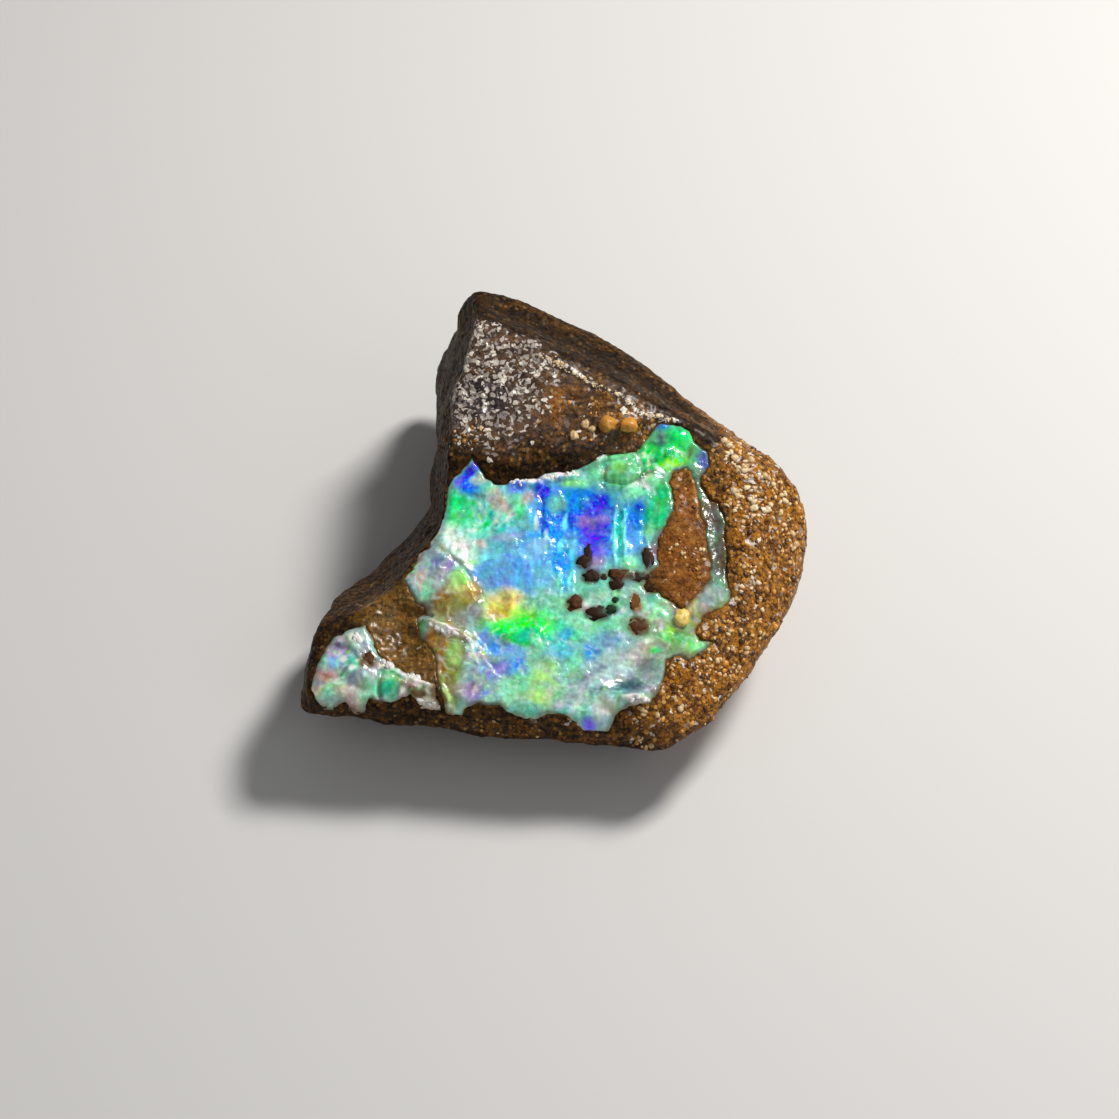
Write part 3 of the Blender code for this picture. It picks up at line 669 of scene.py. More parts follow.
        (-6.7, -4.95, 0.4, 0.07, 50, "ASH", 0.7), (-6.15, -4.4, 0.3, 0.07, -40, "ASH", 0.6),
        # two painted highlights on the tip
        (-6.45, -4.85, 0.13, 0.1, 0, "FROST", 0.9), (-6.75, -4.55, 0.13, 0.09, 0, "FROST", 0.8),
        (-6.95, -5.35, 0.26, 0.08, 0, "PALE", 0.8), (2.9, -3.9, 0.16, 0.1, 20, "PALE", 0.9),
        (3.3, -3.5, 0.17, 0.1, 60, "PALE", 0.8), (2.6, -3.3, 0.19, 0.1, -20, "PALE", 0.8),
        (3.1, -4.25, 0.19, 0.14, 0, "GREEN", 0.8), (3.5, -3.9, 0.16, 0.14, 0, "EMERALD", 0.7),
        (3.25, -3.75, 0.13, 0.1, 0, "LEAF", 0.8), (0.8, -2.75, 0.29, 0.17, -10, "CREAM", 0.8),
        (0.1, -5.2, 0.72, 0.1, -35, "PALE", 0.5), (0.55, -6.05, 0.54, 0.1, 70, "PALE", 0.6),
        (-1.8, -4.85, 0.39, 0.2, 20, "LILAC", 0.4), (0.1, -4.25, 0.58, 0.34, 0, "PERIWINKLE", 0.5),
        (1.65, -3.9, 0.71, 0.31, -10, "PERIWINKLE", 0.45),
    ),
}
SEAM_DOMAINS = tuple(
    Domain(Oval(*oval), Hue[hue], strength) for coat in DOMAIN_COATS.values() for *oval, hue, strength in coat
)
BUBBLE_FIELDS = (
    Oval(-1.15, -1.5, 0.6, 0.45),
    Oval(0.85, 0.75, 0.6, 0.45),
    Oval(0.0, 0.65, 0.35, 0.35),
    Oval(0.4, -0.5, 0.3, 0.5),
    Oval(-2.9, 1.6, 0.5, 0.4),
    Oval(0.6, -4.7, 0.4, 0.6),
)
BROKEN_FIELDS = (
    Oval(4.3, -3.3, 1.5, 1.2),
    Oval(2.2, -2.7, 1.3, 0.9),
    Oval(0.6, -5.6, 1.8, 0.7),
    Oval(3.0, 2.2, 1.6, 1.0),
    Oval(-2.5, -4.9, 0.6, 1.4, 10.0),
    Oval(-6.0, -5.0, 2.4, 1.2, -20.0),
    Oval(-4.2, -1.8, 0.9, 0.8),
    Oval(-1.9, 0.4, 1.3, 1.0),
)


def crowding(fields: Iterable[Oval], places: Field) -> Field:
    """How crowded some fields are at each place."""
    return sum(oval.dome(places[:, 0], places[:, 1]) for oval in fields)


@dataclass(frozen=True)
class PlayOfColour:
    """How the opal's domains of colour run into each other, and the finer colours scattered over them."""

    ground: Hue = Hue.AQUA
    rim: Hue = Hue.UMBER
    rim_cover: float = 0.8
    soft: float = 0.7
    drift: float = 0.10
    fine_drift: float = 0.05
    drift_seeds: Point2 = (1.3, 8.9)
    fleck: float = 0.15
    fleck_strength: float = 0.8
    fleck_hues: tuple[Hue, ...] = (
        Hue.MILK, Hue.MINT, Hue.CREAM, Hue.LILAC, Hue.TEAL, Hue.SLATE, Hue.LIME, Hue.MINT,
    )
    least_broken: float = 0.12
    bubble_cover: float = 0.5
    strand_cover: float = 0.40
    strand_turn: float = -0.5
    low_start: float = -1.6
    low_end: float = -2.6
    cloud: float = 0.27
    tint_seeds: tuple[float, ...] = (3.1, 6.1, 9.1)
    upper_streaks: Waves = Waves(1.1, 0.12, 3.3, (1.0, 5.0))
    lower_streaks: Waves = Waves(1.1, 0.14, 3.3, (2.0, 1.0))
    shade_waves: Waves = Waves(1.0, 0.16, 6.1)
    fine_waves: Waves = Waves(0.7, 0.08, 2.6)
    shore: float = 0.40
    shore_waves: Waves = Waves(0.8, 0.5, 5.8)
    halo: float = 1.25
    halo_cover: float = 0.85

    def at(self, uvw: Field, depth: Field) -> Field:
        """The opal's colour at places on the face.

        Args:
            uvw: Places on the face.
            depth: How far inside the opal they lie.

        Returns:
            One red, green, blue and 1 for each place.
        """
        places = flat(uvw)
        drifts = [self._drift(places, seed) for seed in self.drift_seeds]
        bent = places + np.column_stack((*drifts, np.zeros(len(places))))
        colour = np.tile(np.array(self.ground.rgb), (len(places), 1))
        for spot in SEAM_DOMAINS:
            tint(colour, spot.hue.rgb, spot.strength * spot.oval.mask(bent[:, 0], bent[:, 1], self.soft))
        broken = np.clip(2.0 * crowding(BROKEN_FIELDS, places), self.least_broken, 1.0)
        low = ease(self.low_start, self.low_end, places[:, 1])
        self._fleck(colour, bent, broken)
        tint(colour, Hue.CYAN.rgb, self.bubble_cover * self._bubbles(places))
        strands = broken * self._strands(bent, (1.0, 2.0), 0.0) * (1.0 - low)
        strands += self._strands(bent, (2.0, 1.0), self.strand_turn) * low
        tint(colour, Hue.PALE.rgb, self.strand_cover * strands)
        for grain in DARK_GRAINS:
            oval = grain.oval
            reach, width = self.halo * oval.half_length, self.halo * oval.half_width
            halo = replace(oval, half_length=reach, half_width=width)
            tint(colour, grain.stain.rgb, self.halo_cover * halo.mask(bent[:, 0], bent[:, 1], 0.35))
        shore = self.shore * (0.55 + self.shore_waves.at(places)) * np.where(places[:, 1] > 0.9, 0.35, 1.0)
        tint(colour, self.rim.rgb, self.rim_cover * ease(1.0, 0.0, depth / np.maximum(shore, 0.06)))
        tints = np.column_stack([noise_at(bent, 0.35, seed=seed) for seed in self.tint_seeds])
        streaks = self.upper_streaks.at(bent) * (1.0 - low) + self.lower_streaks.at(bent) * low
        shade = tints + (self.shade_waves.at(bent) + streaks + self.fine_waves.at(places))[:, None]
        bright = np.clip(colour * np.exp(self.cloud * shade), 0.0, 1.0)
        return np.column_stack((bright, np.ones(len(places))))

    def _drift(self, places: Field, seed: float) -> Field:
        """How far the colours wander from their domains."""
        return Waves(self.drift, 0.6, seed).at(places) + Waves(self.fine_drift, 0.2, seed + 3.0).at(places)

    def _fleck(self, colour: Field, bent: Field, broken: Field) -> None:
        """Scatters flecks of other hues.

        Args:
            colour: The colour of each place, which is changed.
            bent: The places, drifted.
            broken: How broken the play is at each.
        """
        near, own = cells_at(bent, self.fleck, (1.0, 1.5), seed=2.0)
        palette = np.array([hue.rgb for hue in self.fleck_hues])
        flecks = palette[(own[:, 0] * 0.999 * len(palette)).astype(int)]
        tint(colour, flecks, self.fleck_strength * broken * own[:, 1] ** 2 * ease(0.75, 0.35, near))

    @staticmethod
    def _strands(places: Field, stretch: Point2, turn: float) -> Field:
        """Thin pale strands, long along one direction.

        Args:
            places: Places on the face.
            stretch: How long the strands are along u and along v.
            turn: How far they are turned, in radians.

        Returns:
            1 on a strand and 0 beside it.
        """
        turned = places @ np.array(Matrix.Rotation(turn, 3, "Z"))
        ridges = ease(0.30, 0.02, np.abs(noise_at(turned, 0.15, stretch, seed=4.7)))
        return ridges * ease(-0.1, 0.4, noise_at(turned, 0.28, stretch, seed=8.2))

    @staticmethod
    def _bubbles(places: Field) -> Field:
        """Small pale rings, crowded in a few fields."""
        near, own = cells_at(places, 0.2, seed=5.4)
        rings = np.where(own[:, 0] > 0.35, ease(0.42, 0.2, near), 0.0)
        return np.clip(3.0 * crowding(BUBBLE_FIELDS, places), 0.0, 1.0) * rings


# ---------------------------------------------------------------- meshes


def vertex_rows(mesh: bpy.types.Mesh, key: str) -> Field:
    """What the vertices of a mesh hold under a key, one row each."""
    values = np.empty(len(mesh.vertices) * 3)
    mesh.vertices.foreach_get(key, values)
    return values.reshape(-1, 3)


def place(mesh: bpy.types.Mesh, points: Field) -> None:
    """Moves the vertices of a mesh."""
    mesh.vertices.foreach_set("co", points.ravel())
    mesh.update()


def paint(mesh: bpy.types.Mesh, name: str, values: Field) -> None:
    """Stores a colour or a number on each vertex.

    Args:
        mesh: The mesh.
        name: The attribute's name.
        values: Four columns for a colour, one for a number.
    """
    kind, key = ("FLOAT_COLOR", "color") if values.ndim == 2 else ("FLOAT", "value")
    mesh.attributes.new(name, kind, "POINT").data.foreach_set(key, values.ravel())


def mesh_from(bm: bmesh.types.BMesh, name: str) -> bpy.types.Mesh:
    """Turns a bmesh into a mesh and frees it."""
    mesh = bpy.data.meshes.new(name)
    bm.to_mesh(mesh)
    bm.free()
    return mesh


def linked(name: str, data: bpy.types.ID) -> bpy.types.Object:
    """Puts a mesh, a light or a camera in the scene."""
    thing = bpy.data.objects.new(name, data)
    bpy.context.scene.collection.objects.link(thing)
    return thing


def new_piece(
    name: str, mesh: bpy.types.Mesh, material: bpy.types.Material
) -> bpy.types.Object:
    """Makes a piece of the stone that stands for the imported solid.

    Args:
        name: The piece's name.
        mesh: Its mesh, in metres, in place.
        material: Its finish.

    Returns:
        The piece.
    """
    piece = linked(name, mesh)
    mesh.materials.clear()
    mesh.materials.append(material)
    mesh.shade_smooth()
    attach(piece, "root")
    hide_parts(STONE_NODE)
    mesh.calc_loop_triangles()
    LOG.info("%s: %d triangles", name, len(mesh.loop_triangles))
    return piece


def stone_bmesh() -> bmesh.types.BMesh:
    """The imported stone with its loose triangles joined."""
    bm = bmesh.new()
    bm.from_mesh(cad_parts[STONE_NODE].data)
    bmesh.ops.remove_doubles(bm, verts=bm.verts, dist=1e-7)
    return bm


@dataclass
class Ground:
    """The lie of the face: the height of the stone over the face plane, with the named forms crisp."""

    step: float = 0.1
    side: float = 18.0
    above: float = 6.0
    lowest: float = -2.2
    blur: int = 3
    off_stone: float = 3.0
    lip_start: float = 0.04
    lip_fall: float = 0.24
    wall: float = 0.42
    edge_waves: tuple[Waves, ...] = (Waves(0.07, 0.42, 3.7), Waves(0.04, 0.17, 9.1))

    def __post_init__(self) -> None:
        """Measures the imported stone."""
        bm = stone_bmesh()
        tree = BVHTree.FromBMesh(bm)
        bm.free()
        axis = self.step * np.arange(int(self.side / self.step) + 1) - self.side / 2
        u, v = np.meshgrid(axis, axis, indexing="ij")
        starts = from_face(np.stack((u.ravel(), v.ravel(), np.full(u.size, self.above)), 1))
        hits = (tree.ray_cast(Vector(start), -FACE_AXES.col[2])[3] for start in starts)
        w = np.array([np.nan if hit is None else self.above - hit / MM for hit in hits]).reshape(u.shape)
        known = np.isfinite(w) & (w > self.lowest)
        forms = self.forms(u, v)
        kernel = np.hanning(2 * self.blur + 3)[1:-1]
        rest = self._smooth(np.where(known, w - forms, 0.0), kernel)
        self.rest = rest / np.maximum(self._smooth(known.astype(float), kernel), 1e-4)
        self.fall = np.where(known, self.rest + forms - w, self.off_stone)

    @staticmethod
    def _smooth(values: Field, kernel: Field) -> Field:
        """Smooths a grid of values along both its directions."""
        for axis in (0, 1):
            values = np.apply_along_axis(np.convolve, axis, values, kernel, "same")
        return values

    @staticmethod
    def forms(u: Field, v: Field) -> Field:
        """Height of the named forms."""
        return sum(form.height(u, v) for form in FACE_FORMS)

    def _read(self, grid: Field, u: Field, v: Field) -> Field:
        """Values of a grid between its places."""
        x, y = (np.stack((u, v)) + self.side / 2) / self.step
        i, j = (np.clip(n.astype(int), 0, len(grid) - 2) for n in (x, y))
        s, t = np.clip(x - i, 0, 1), np.clip(y - j, 0, 1)
        near = grid[i, j] * (1 - s) + grid[i + 1, j] * s
        return near * (1 - t) + (grid[i, j + 1] * (1 - s) + grid[i + 1, j + 1] * s) * t

    def height(self, u: Field, v: Field) -> Field:
        """Height of the face at any place on it."""
        return self._read(self.rest, u, v) + self.forms(u, v)

    def lip_drop(self, u: Field, v: Field) -> Field:
        """How far the stone rounds off below the face at its lip."""
        return np.clip(self._read(self.fall, u, v) - self.lip_start, 0.0, 1.0)

    def opal_depth(self, uvw: Field) -> Field:
        """How far inside the opal each place on the face lies, negative where the ironstone shows.

        Args:
            uvw: Places on the face.

        Returns:
            One depth for each place, with a naturally ragged edge that stops where the stone falls away.
        """
        u, v = uvw[:, 0], uvw[:, 1]
        depth = np.maximum.reduce([outline.depth(u, v) for outline in OPAL_OUTLINES])
        depth = np.minimum(depth, -LENS_OUTLINE.depth(u, v))
        depth += sum(waves.at(flat(uvw)) for waves in self.edge_waves)
        lip, wall = self.lip_fall - self._read(self.fall, u, v), self.wall + self._read(self.rest, u, v)
        return np.minimum.reduce((depth, lip, wall))


class Surface:
    """The finished surface of some pieces, that grains are set in."""

    above = 6.0
    farthest = 9.0

    def __init__(self, pieces: Iterable[bpy.types.Object]) -> None:
        """Takes the surface of the pieces."""
        bm = bmesh.new()
        for piece in pieces:
            bm.from_mesh(piece.data)
        self.tree = BVHTree.FromBMesh(bm)
        bm.free()

    def drop(self, u: float, v: float) -> Optional[float]:
        """Height of the surface at a place on the face, or None beside the stone."""
        start = Vector(from_face(np.array((u, v, self.above))))
        hit = self.tree.ray_cast(start, -FACE_AXES.col[2])[3]
        return None if hit is None or hit > self.farthest * MM else self.above - hit / MM


# ---------------------------------------------------------------- materials


Socket = bpy.types.NodeSocket
Value = Socket | float | Sequence[float]


class Graph:
    """A node tree that is built by calls: each call adds a node and links or sets its inputs."""

    def __init__(self, tree: bpy.types.NodeTree) -> None:
        """Starts with an empty tree."""
        self.tree = tree
        tree.nodes.clear()

    def add(self, kind: str, inputs: Optional[dict] = None, **settings: object) -> bpy.types.Node:
        """Adds a node.

        Args:
            kind: The node's type.
            inputs: What goes into its sockets, by name or number: another socket, or a value.
            settings: The node's own settings.

        Returns:
            The node.
        """
        node = self.tree.nodes.new(kind)
        for setting, value in settings.items():
            setattr(node, setting, value)
        for key, value in (inputs or {}).items():
            if isinstance(value, Socket):
                self.tree.links.new(value, node.inputs[key])
            else:
                node.inputs[key].default_value = value
        return node

    def maths(self, operation: str, *values: Value) -> Socket:
        """A Math node's result."""
        return self.add("ShaderNodeMath", dict(enumerate(values)), operation=operation).outputs[0]

    def times(self, *values: Value) -> Socket:
        """Two values multiplied."""
        return self.maths("MULTIPLY", *values)

    def remap(
        self, value: Socket, low: Value, high: Value, to_low: float = 0.0, to_high: float = 1.0
    ) -> Socket:
        """A value taken smoothly from one range to another."""
        sockets = {"Value": value, "From Min": low, "From Max": high, "To Min": to_low, "To Max": to_high}
        return self.add("ShaderNodeMapRange", sockets, interpolation_type="SMOOTHSTEP").outputs[0]

    def mix(self, factor: Value, first: Value, second: Value, blend: str = "MIX") -> Socket:
        """Two colours mixed."""
        inputs = {0: factor, 6: first, 7: second}
        return self.add("ShaderNodeMix", inputs, data_type="RGBA", blend_type=blend).outputs[2]

    def shaded(self, share: Value, colour: Socket, tone: Point3) -> Socket:
        """A colour multiplied by a tone where the share is 1."""
        return self.mix(share, colour, self.mix(1.0, colour, rgba(tone), "MULTIPLY"))

    def bumped(self, strength: float, distance: float, height: Socket) -> Socket:
        """The surface's direction over a height, with the distance in millimetres."""
        inputs = {"Strength": strength, "Distance": distance * MM, "Height": height}
        return self.add("ShaderNodeBump", inputs).outputs[0]

    def finish(self, **sockets: Value) -> None:
        """Ends a material with a Principled shader, its sockets by name, spaces written as underscores."""
        inputs = {name.replace("_", " "): value for name, value in sockets.items()}
        shader = self.add("ShaderNodeBsdfPrincipled", inputs)
        self.add("ShaderNodeOutputMaterial", {"Surface": shader.outputs[0]})

    def vectors(self, operation: str, inputs: dict) -> Socket:
        """A Vector Math node's result."""
        return self.add("ShaderNodeVectorMath", inputs, operation=operation).outputs[0]

    def put_out(self, outside: bpy.types.Node, **results: Socket) -> bpy.types.NodeTree:
        """Links results to a group's output node by name, and gives back the group."""
        for name, result in results.items():
            self.tree.links.new(result, outside.inputs[name])
        return self.tree

    def attribute(self, name: str, output: str) -> Socket:
        """What the piece's vertices hold under a name."""
        return self.add("ShaderNodeAttribute", attribute_name=name).outputs[output]

    def millimetres(self, stretch: Point3 = (1, 1, 1), turn: Point3 = (0, 0, 0)) -> Socket:
        """The piece's own coordinates in millimetres, divided by a stretch and turned."""
        inputs = {
            "Vector": self.add("ShaderNodeTexCoord").outputs["Object"],
            "Scale": tuple(1.0 / MM / s for s in stretch),
            "Rotation": turn,
        }
        return self.add("ShaderNodeMapping", inputs).outputs[0]

    def group(self, tree: bpy.types.NodeTree, **inputs: Value) -> bpy.types.Node:
        """Places a node group, with its inputs by name."""
        return self.add("ShaderNodeGroup", inputs, node_tree=tree)


def new_group(
    name: str, inputs: dict[str, str], outputs: dict[str, str]
) -> tuple[Graph, bpy.types.Node, bpy.types.Node]:
    """Starts a shader node group.

    Args:
        name: Its name.
        inputs: Kind of each input socket, by name.
        outputs: Kind of each output socket, by name.

    Returns:
        The group's graph, its input node and its output node.
    """
    tree = bpy.data.node_groups.new(name, "ShaderNodeTree")
    for direction, sockets in (("INPUT", inputs), ("OUTPUT", outputs)):
        for socket, kind in sockets.items():
            tree.interface.new_socket(name=socket, in_out=direction, socket_type="NodeSocket" + kind)
    graph = Graph(tree)
    return graph, graph.add("NodeGroupInput"), graph.add("NodeGroupOutput")


class Effects:
    """The effects that the finishes share, each a node group that is built once."""

    def __init__(self) -> None:
        """Builds the groups."""
        self.grains = self._grains()
        self.mottle = self._mottle()
        self.beads = self._beads()

    @staticmethod
    def _grains() -> bpy.types.NodeTree:
        """Rounded grains, packed side by side, each with a tone of its own."""
        graph, inside, outside = new_group(
            "grains",
            {"Vector": "Vector", "Size": "Float"},
            {"Mask": "Float", "Tone": "Float", "Shift": "Vector"},
        )
        scale = graph.maths("DIVIDE", 1.0, inside.outputs["Size"])
        cells = graph.add("ShaderNodeTexVoronoi", {"Vector": inside.outputs["Vector"], "Scale": scale})
        tone = graph.add("ShaderNodeSeparateColor", {0: cells.outputs["Color"]}).outputs[0]
        mask = graph.remap(cells.outputs["Distance"], 0.66, 0.40)
        return graph.put_out(outside, Mask=mask, Tone=tone, Shift=cells.outputs["Color"])

    @staticmethod
    def _mottle() -> bpy.types.NodeTree:
        """Cloudy patches with a sharp or a soft edge."""
        graph, inside, outside = new_group(
            "mottle",
            {"Vector": "Vector", "Size": "Float", "Low": "Float", "High": "Float"},
            {"Mask": "Float"},
        )
        scale = graph.maths("DIVIDE", 1.0, inside.outputs["Size"])
        sockets = {"Vector": inside.outputs["Vector"], "Scale": scale, "Detail": 4.0, "Roughness": 0.6}
        cloud = graph.add("ShaderNodeTexNoise", sockets).outputs[0]
        mask = graph.remap(cloud, inside.outputs["Low"], inside.outputs["High"])
        return graph.put_out(outside, Mask=mask)

    @staticmethod
    def _beads() -> bpy.types.NodeTree:
        """Rounded blobs that run together, more of them where they crowd: the ironstone paints its glints
        with them.
        """
        graph, inside, outside = new_group(
            "beads",
            {"Vector": "Vector", "Size": "Float", "Crowd": "Float"},
            {"Mask": "Float", "Tone": "Float"},
        )
        vector, size, crowd = (inside.outputs[name] for name in ("Vector", "Size", "Crowd"))
        scale = graph.maths("DIVIDE", 1.0, size)
        sockets = {"Vector": vector, "Scale": graph.times(scale, 0.9), "Detail": 1.0}
        wander = graph.add("ShaderNodeTexNoise", sockets).outputs["Color"]
        centred = graph.vectors("SUBTRACT", {0: wander, 1: (0.5, 0.5, 0.5)})
        shift = graph.vectors("SCALE", {0: centred, "Scale": graph.times(size, 2.2)})
        bent = graph.vectors("ADD", {0: vector, 1: shift})
        cells = graph.add("ShaderNodeTexVoronoi", {"Vector": bent, "Scale": scale})
        own = graph.add("ShaderNodeSeparateColor", {0: cells.outputs["Color"]})
        room = graph.maths("SUBTRACT", graph.maths("ADD", own.outputs[0], graph.times(crowd, 0.90)), 1.0)
        mask = graph.times(graph.remap(room, 0.0, 0.05), graph.remap(cells.outputs["Distance"], 0.60, 0.46))
        return graph.put_out(outside, Mask=mask, Tone=own.outputs[1])


def start_material(name: str) -> tuple[bpy.types.Material, Graph]:
    """A new material and its graph."""
    material = bpy.data.materials.new(name)
    material.use_nodes = True
    return material, Graph(material.node_tree)


def rgba(colour: Sequence[float]) -> tuple[float, float, float, float]:
    """A colour with full cover."""
    return (*colour, 1.0)


@dataclass(frozen=True)
class OpalFinish:
    """Glassy opal: the play of colour comes from the seam's vertices, and its fine mosaic from here. A little
    painted glow lifts its colours.
    """

    roughness: float = 0.20
    coat_roughness: float = 0.05
    bump: float = 0.40
    # painted glow: the opal gives off a little light of its own colour
    glow: float = 0.20
    chip: float = 0.09
    hues: Point2 = (0.482, 0.518)
    values: Point2 = (0.90, 1.18)
    saturation: float = 1.1
    milk: str = "#C4DCE4"

    def material(self, effects: Effects) -> bpy.types.Material:
        """Builds the material.

        Args:
            effects: The shared effects.

        Returns:
            The material.
        """
        material, graph = start_material("precious opal")
        place_on = graph.millimetres()
        chips = graph.group(effects.grains, Vector=place_on, Size=self.chip).outputs
        sockets = {
            "Hue": graph.remap(chips["Tone"], 0.0, 1.0, *self.hues),
            "Saturation": self.saturation,
            "Value": graph.remap(chips["Shift"], 0.0, 1.0, *self.values),
            "Color": graph.attribute("play", "Color"),
        }
        play = graph.add("ShaderNodeHueSaturation", sockets).outputs[0]
        veil = graph.group(effects.mottle, Vector=place_on, Size=0.55, Low=0.52, High=0.80).outputs[0]
        milky = graph.mix(graph.times(veil, 0.22), play, rgba(linear(self.milk)))
        bubbles = graph.group(effects.grains, Vector=place_on, Size=0.11).outputs["Mask"]
        ripple = graph.group(effects.mottle, Vector=place_on, Size=0.3, Low=0.2, High=0.8).outputs[0]
        height = graph.maths("ADD", graph.times(bubbles, 0.12), ripple)
        graph.finish(
            Base_Color=milky,
            Roughness=self.roughness,
            IOR=1.45,
            Coat_Weight=0.7,
            Coat_Roughness=self.coat_roughness,
            # painted glow, in the opal's own colours
            Emission_Color=milky,
            Emission_Strength=self.glow,
            Normal=graph.bumped(self.bump, 0.04, height),
        )
        return material


@dataclass(frozen=True)
class IronstoneFinish:
    """Weathered ironstone: its zones come from the vertices, and sand, rust, bedding, painted glints and the
    painted shade in its pits from here.
    """

    grain: float = 0.13
    bead: float = 0.18
    bump: float = 0.6
    coat_roughness: float = 0.25
    # colours of the painted glints on the ironstone, lilac-grey to cream-white
    beads: tuple[str, str] = ("#786A68", "#FFF4E4")
    bedding_turn: float = 33.0
    bedding: tuple[tuple[float, Point3], ...] = ((0.34, (2.0, 1.8, 1.5)), (0.13, (0.35, 0.32, 0.30)))
    sand_patches: tuple[tuple[float, float, float, str, float], ...] = (
        (0.38, 0.48, 0.60, "#B87614", 0.85),
        (0.14, 0.50, 0.60, "#C07F22", 0.75),
        (0.11, 0.57, 0.62, "#2E1B0A", 0.85),
    )
    sand_tones: tuple[tuple[float, float, str], ...] = ((0.62, 0.80, "#C8892F"), (0.90, 0.95, "#EBC283"))

    def material(self, effects: Effects) -> bpy.types.Material:
        """Builds the material.

        Args:
            effects: The shared effects.

        Returns:
            The material.
        """
        material, graph = start_material("ironstone")
        place_on = graph.millimetres()
        sandy, wet, glint = (graph.attribute(name, "Fac") for name in ("sandy", "wet", "glint"))
        pits = graph.group(effects.mottle, Vector=place_on, Size=0.16, Low=0.52, High=0.62).outputs[0]
        colour = self._weathered(graph, effects, sandy, pits)
        grains = graph.group(effects.grains, Vector=place_on, Size=self.grain).outputs
        colour = self._sanded(graph, effects, colour, sandy, grains)
        # painted highlights: lilac-grey to cream-white beads, crowded where the glint attribute is high,
        # stand for the wet facet's glints; their bump is real relief
        beads = graph.group(effects.beads, Vector=place_on, Size=self.bead, Crowd=glint).outputs
        bright = graph.mix(beads["Tone"], *(rgba(linear(code)) for code in self.beads))
        colour = graph.mix(graph.times(beads["Mask"], 0.92), colour, bright)
        height = graph.maths("ADD", graph.times(grains["Mask"], sandy), graph.times(pits, -0.8))
        height = graph.maths("ADD", height, graph.times(beads["Mask"], 1.2))
        graph.finish(
            Base_Color=colour,
            Roughness=graph.remap(pits, 0.0, 1.0, 0.55, 0.80),
            Specular_IOR_Level=0.12,
            Coat_Weight=wet,
            Coat_Roughness=self.coat_roughness,
            Normal=graph.bumped(self.bump, 0.06, height),
        )
        return material

    def _weathered(self, graph: Graph, effects: Effects, sandy: Socket, pits: Socket) -> Socket:
        """The zones' browns with stains, bedding and pits, the pits darkened as painted shade.

        Args:
            graph: The material's graph.
            effects: The shared effects.
            sandy: How sandy the zone is; bedding shows where it isn't.
            pits: 1 in a pit.

        Returns:
            The colour.
        """
        place_on = graph.millimetres()
        stains = graph.group(effects.mottle, Vector=place_on, Size=0.9, Low=0.35, High=0.65).outputs[0]
        earth = graph.attribute("earth", "Color")
        colour = graph.shaded(graph.times(stains, 0.5), earth, (0.55, 0.46, 0.40))
        along = graph.millimetres((5.0, 1.0, 1.0), (0.0, 0.0, math.radians(self.bedding_turn)))
        plain = graph.times(graph.maths("SUBTRACT", 1.0, sandy), 0.6)
        for size, tone in self.bedding:
            bed = graph.group(effects.mottle, Vector=along, Size=size, Low=0.46, High=0.62).outputs[0]
            colour = graph.shaded(graph.times(bed, plain), colour, tone)
        # painted shade: darker in the pits
        return graph.shaded(graph.times(pits, 0.7), colour, (0.25, 0.20, 0.16))

    def _sanded(
        self, graph: Graph, effects: Effects, colour: Socket, sandy: Socket, grains: Mapping[str, Socket]
    ) -> Socket:
        """A colour with sand of every shade of gold over it.

        Args:
            graph: The material's graph.
            effects: The shared effects.
            colour: What lies under the sand.
            sandy: How much sand there is.
            grains: What the sand's grains put out.

        Returns:
            The colour.
        """
        place_on = graph.millimetres()
        for size, low, high, code, cover in self.sand_patches:
            patch = graph.group(effects.mottle, Vector=place_on, Size=size, Low=low, High=high).outputs[0]
            colour = graph.mix(graph.times(patch, graph.times(sandy, cover)), colour, rgba(linear(code)))
        for low, high, code in self.sand_tones:
            some = graph.times(graph.remap(grains["Tone"], low, high), grains["Mask"])
            colour = graph.mix(graph.times(some, sandy), colour, rgba(linear(code)))
        return colour


@dataclass(frozen=True)
class GrainFinish:
    """Single grains, stained by iron or white and cream as painted glints, as their vertices say."""

    name: str
    roughness: float
    specular: float

    def material(self, effects: Effects) -> bpy.types.Material:
        """Builds the material.

        Args:
            effects: The shared effects.

        Returns:
            The material.
        """
        material, graph = start_material(self.name)
        place_on = graph.millimetres()
        mottle = graph.group(effects.mottle, Vector=place_on, Size=0.08, Low=0.4, High=0.65).outputs[0]
        colour = graph.shaded(graph.times(mottle, 0.5), graph.attribute("stain", "Color"), (0.5, 0.4, 0.32))
        graph.finish(Base_Color=colour, Roughness=self.roughness, Specular_IOR_Level=self.specular)
        return material


# ---------------------------------------------------------------- the ironstone


@dataclass(frozen=True)
class Zone:
    """A part of the ironstone with a look of its own: how sandy and wet it is, and how crowded its painted
    glints are.
    """

    name: str
    shape: Oval | Band
    earth: Earth
    sandy: float
    wet: float
    glint: float = 0.0


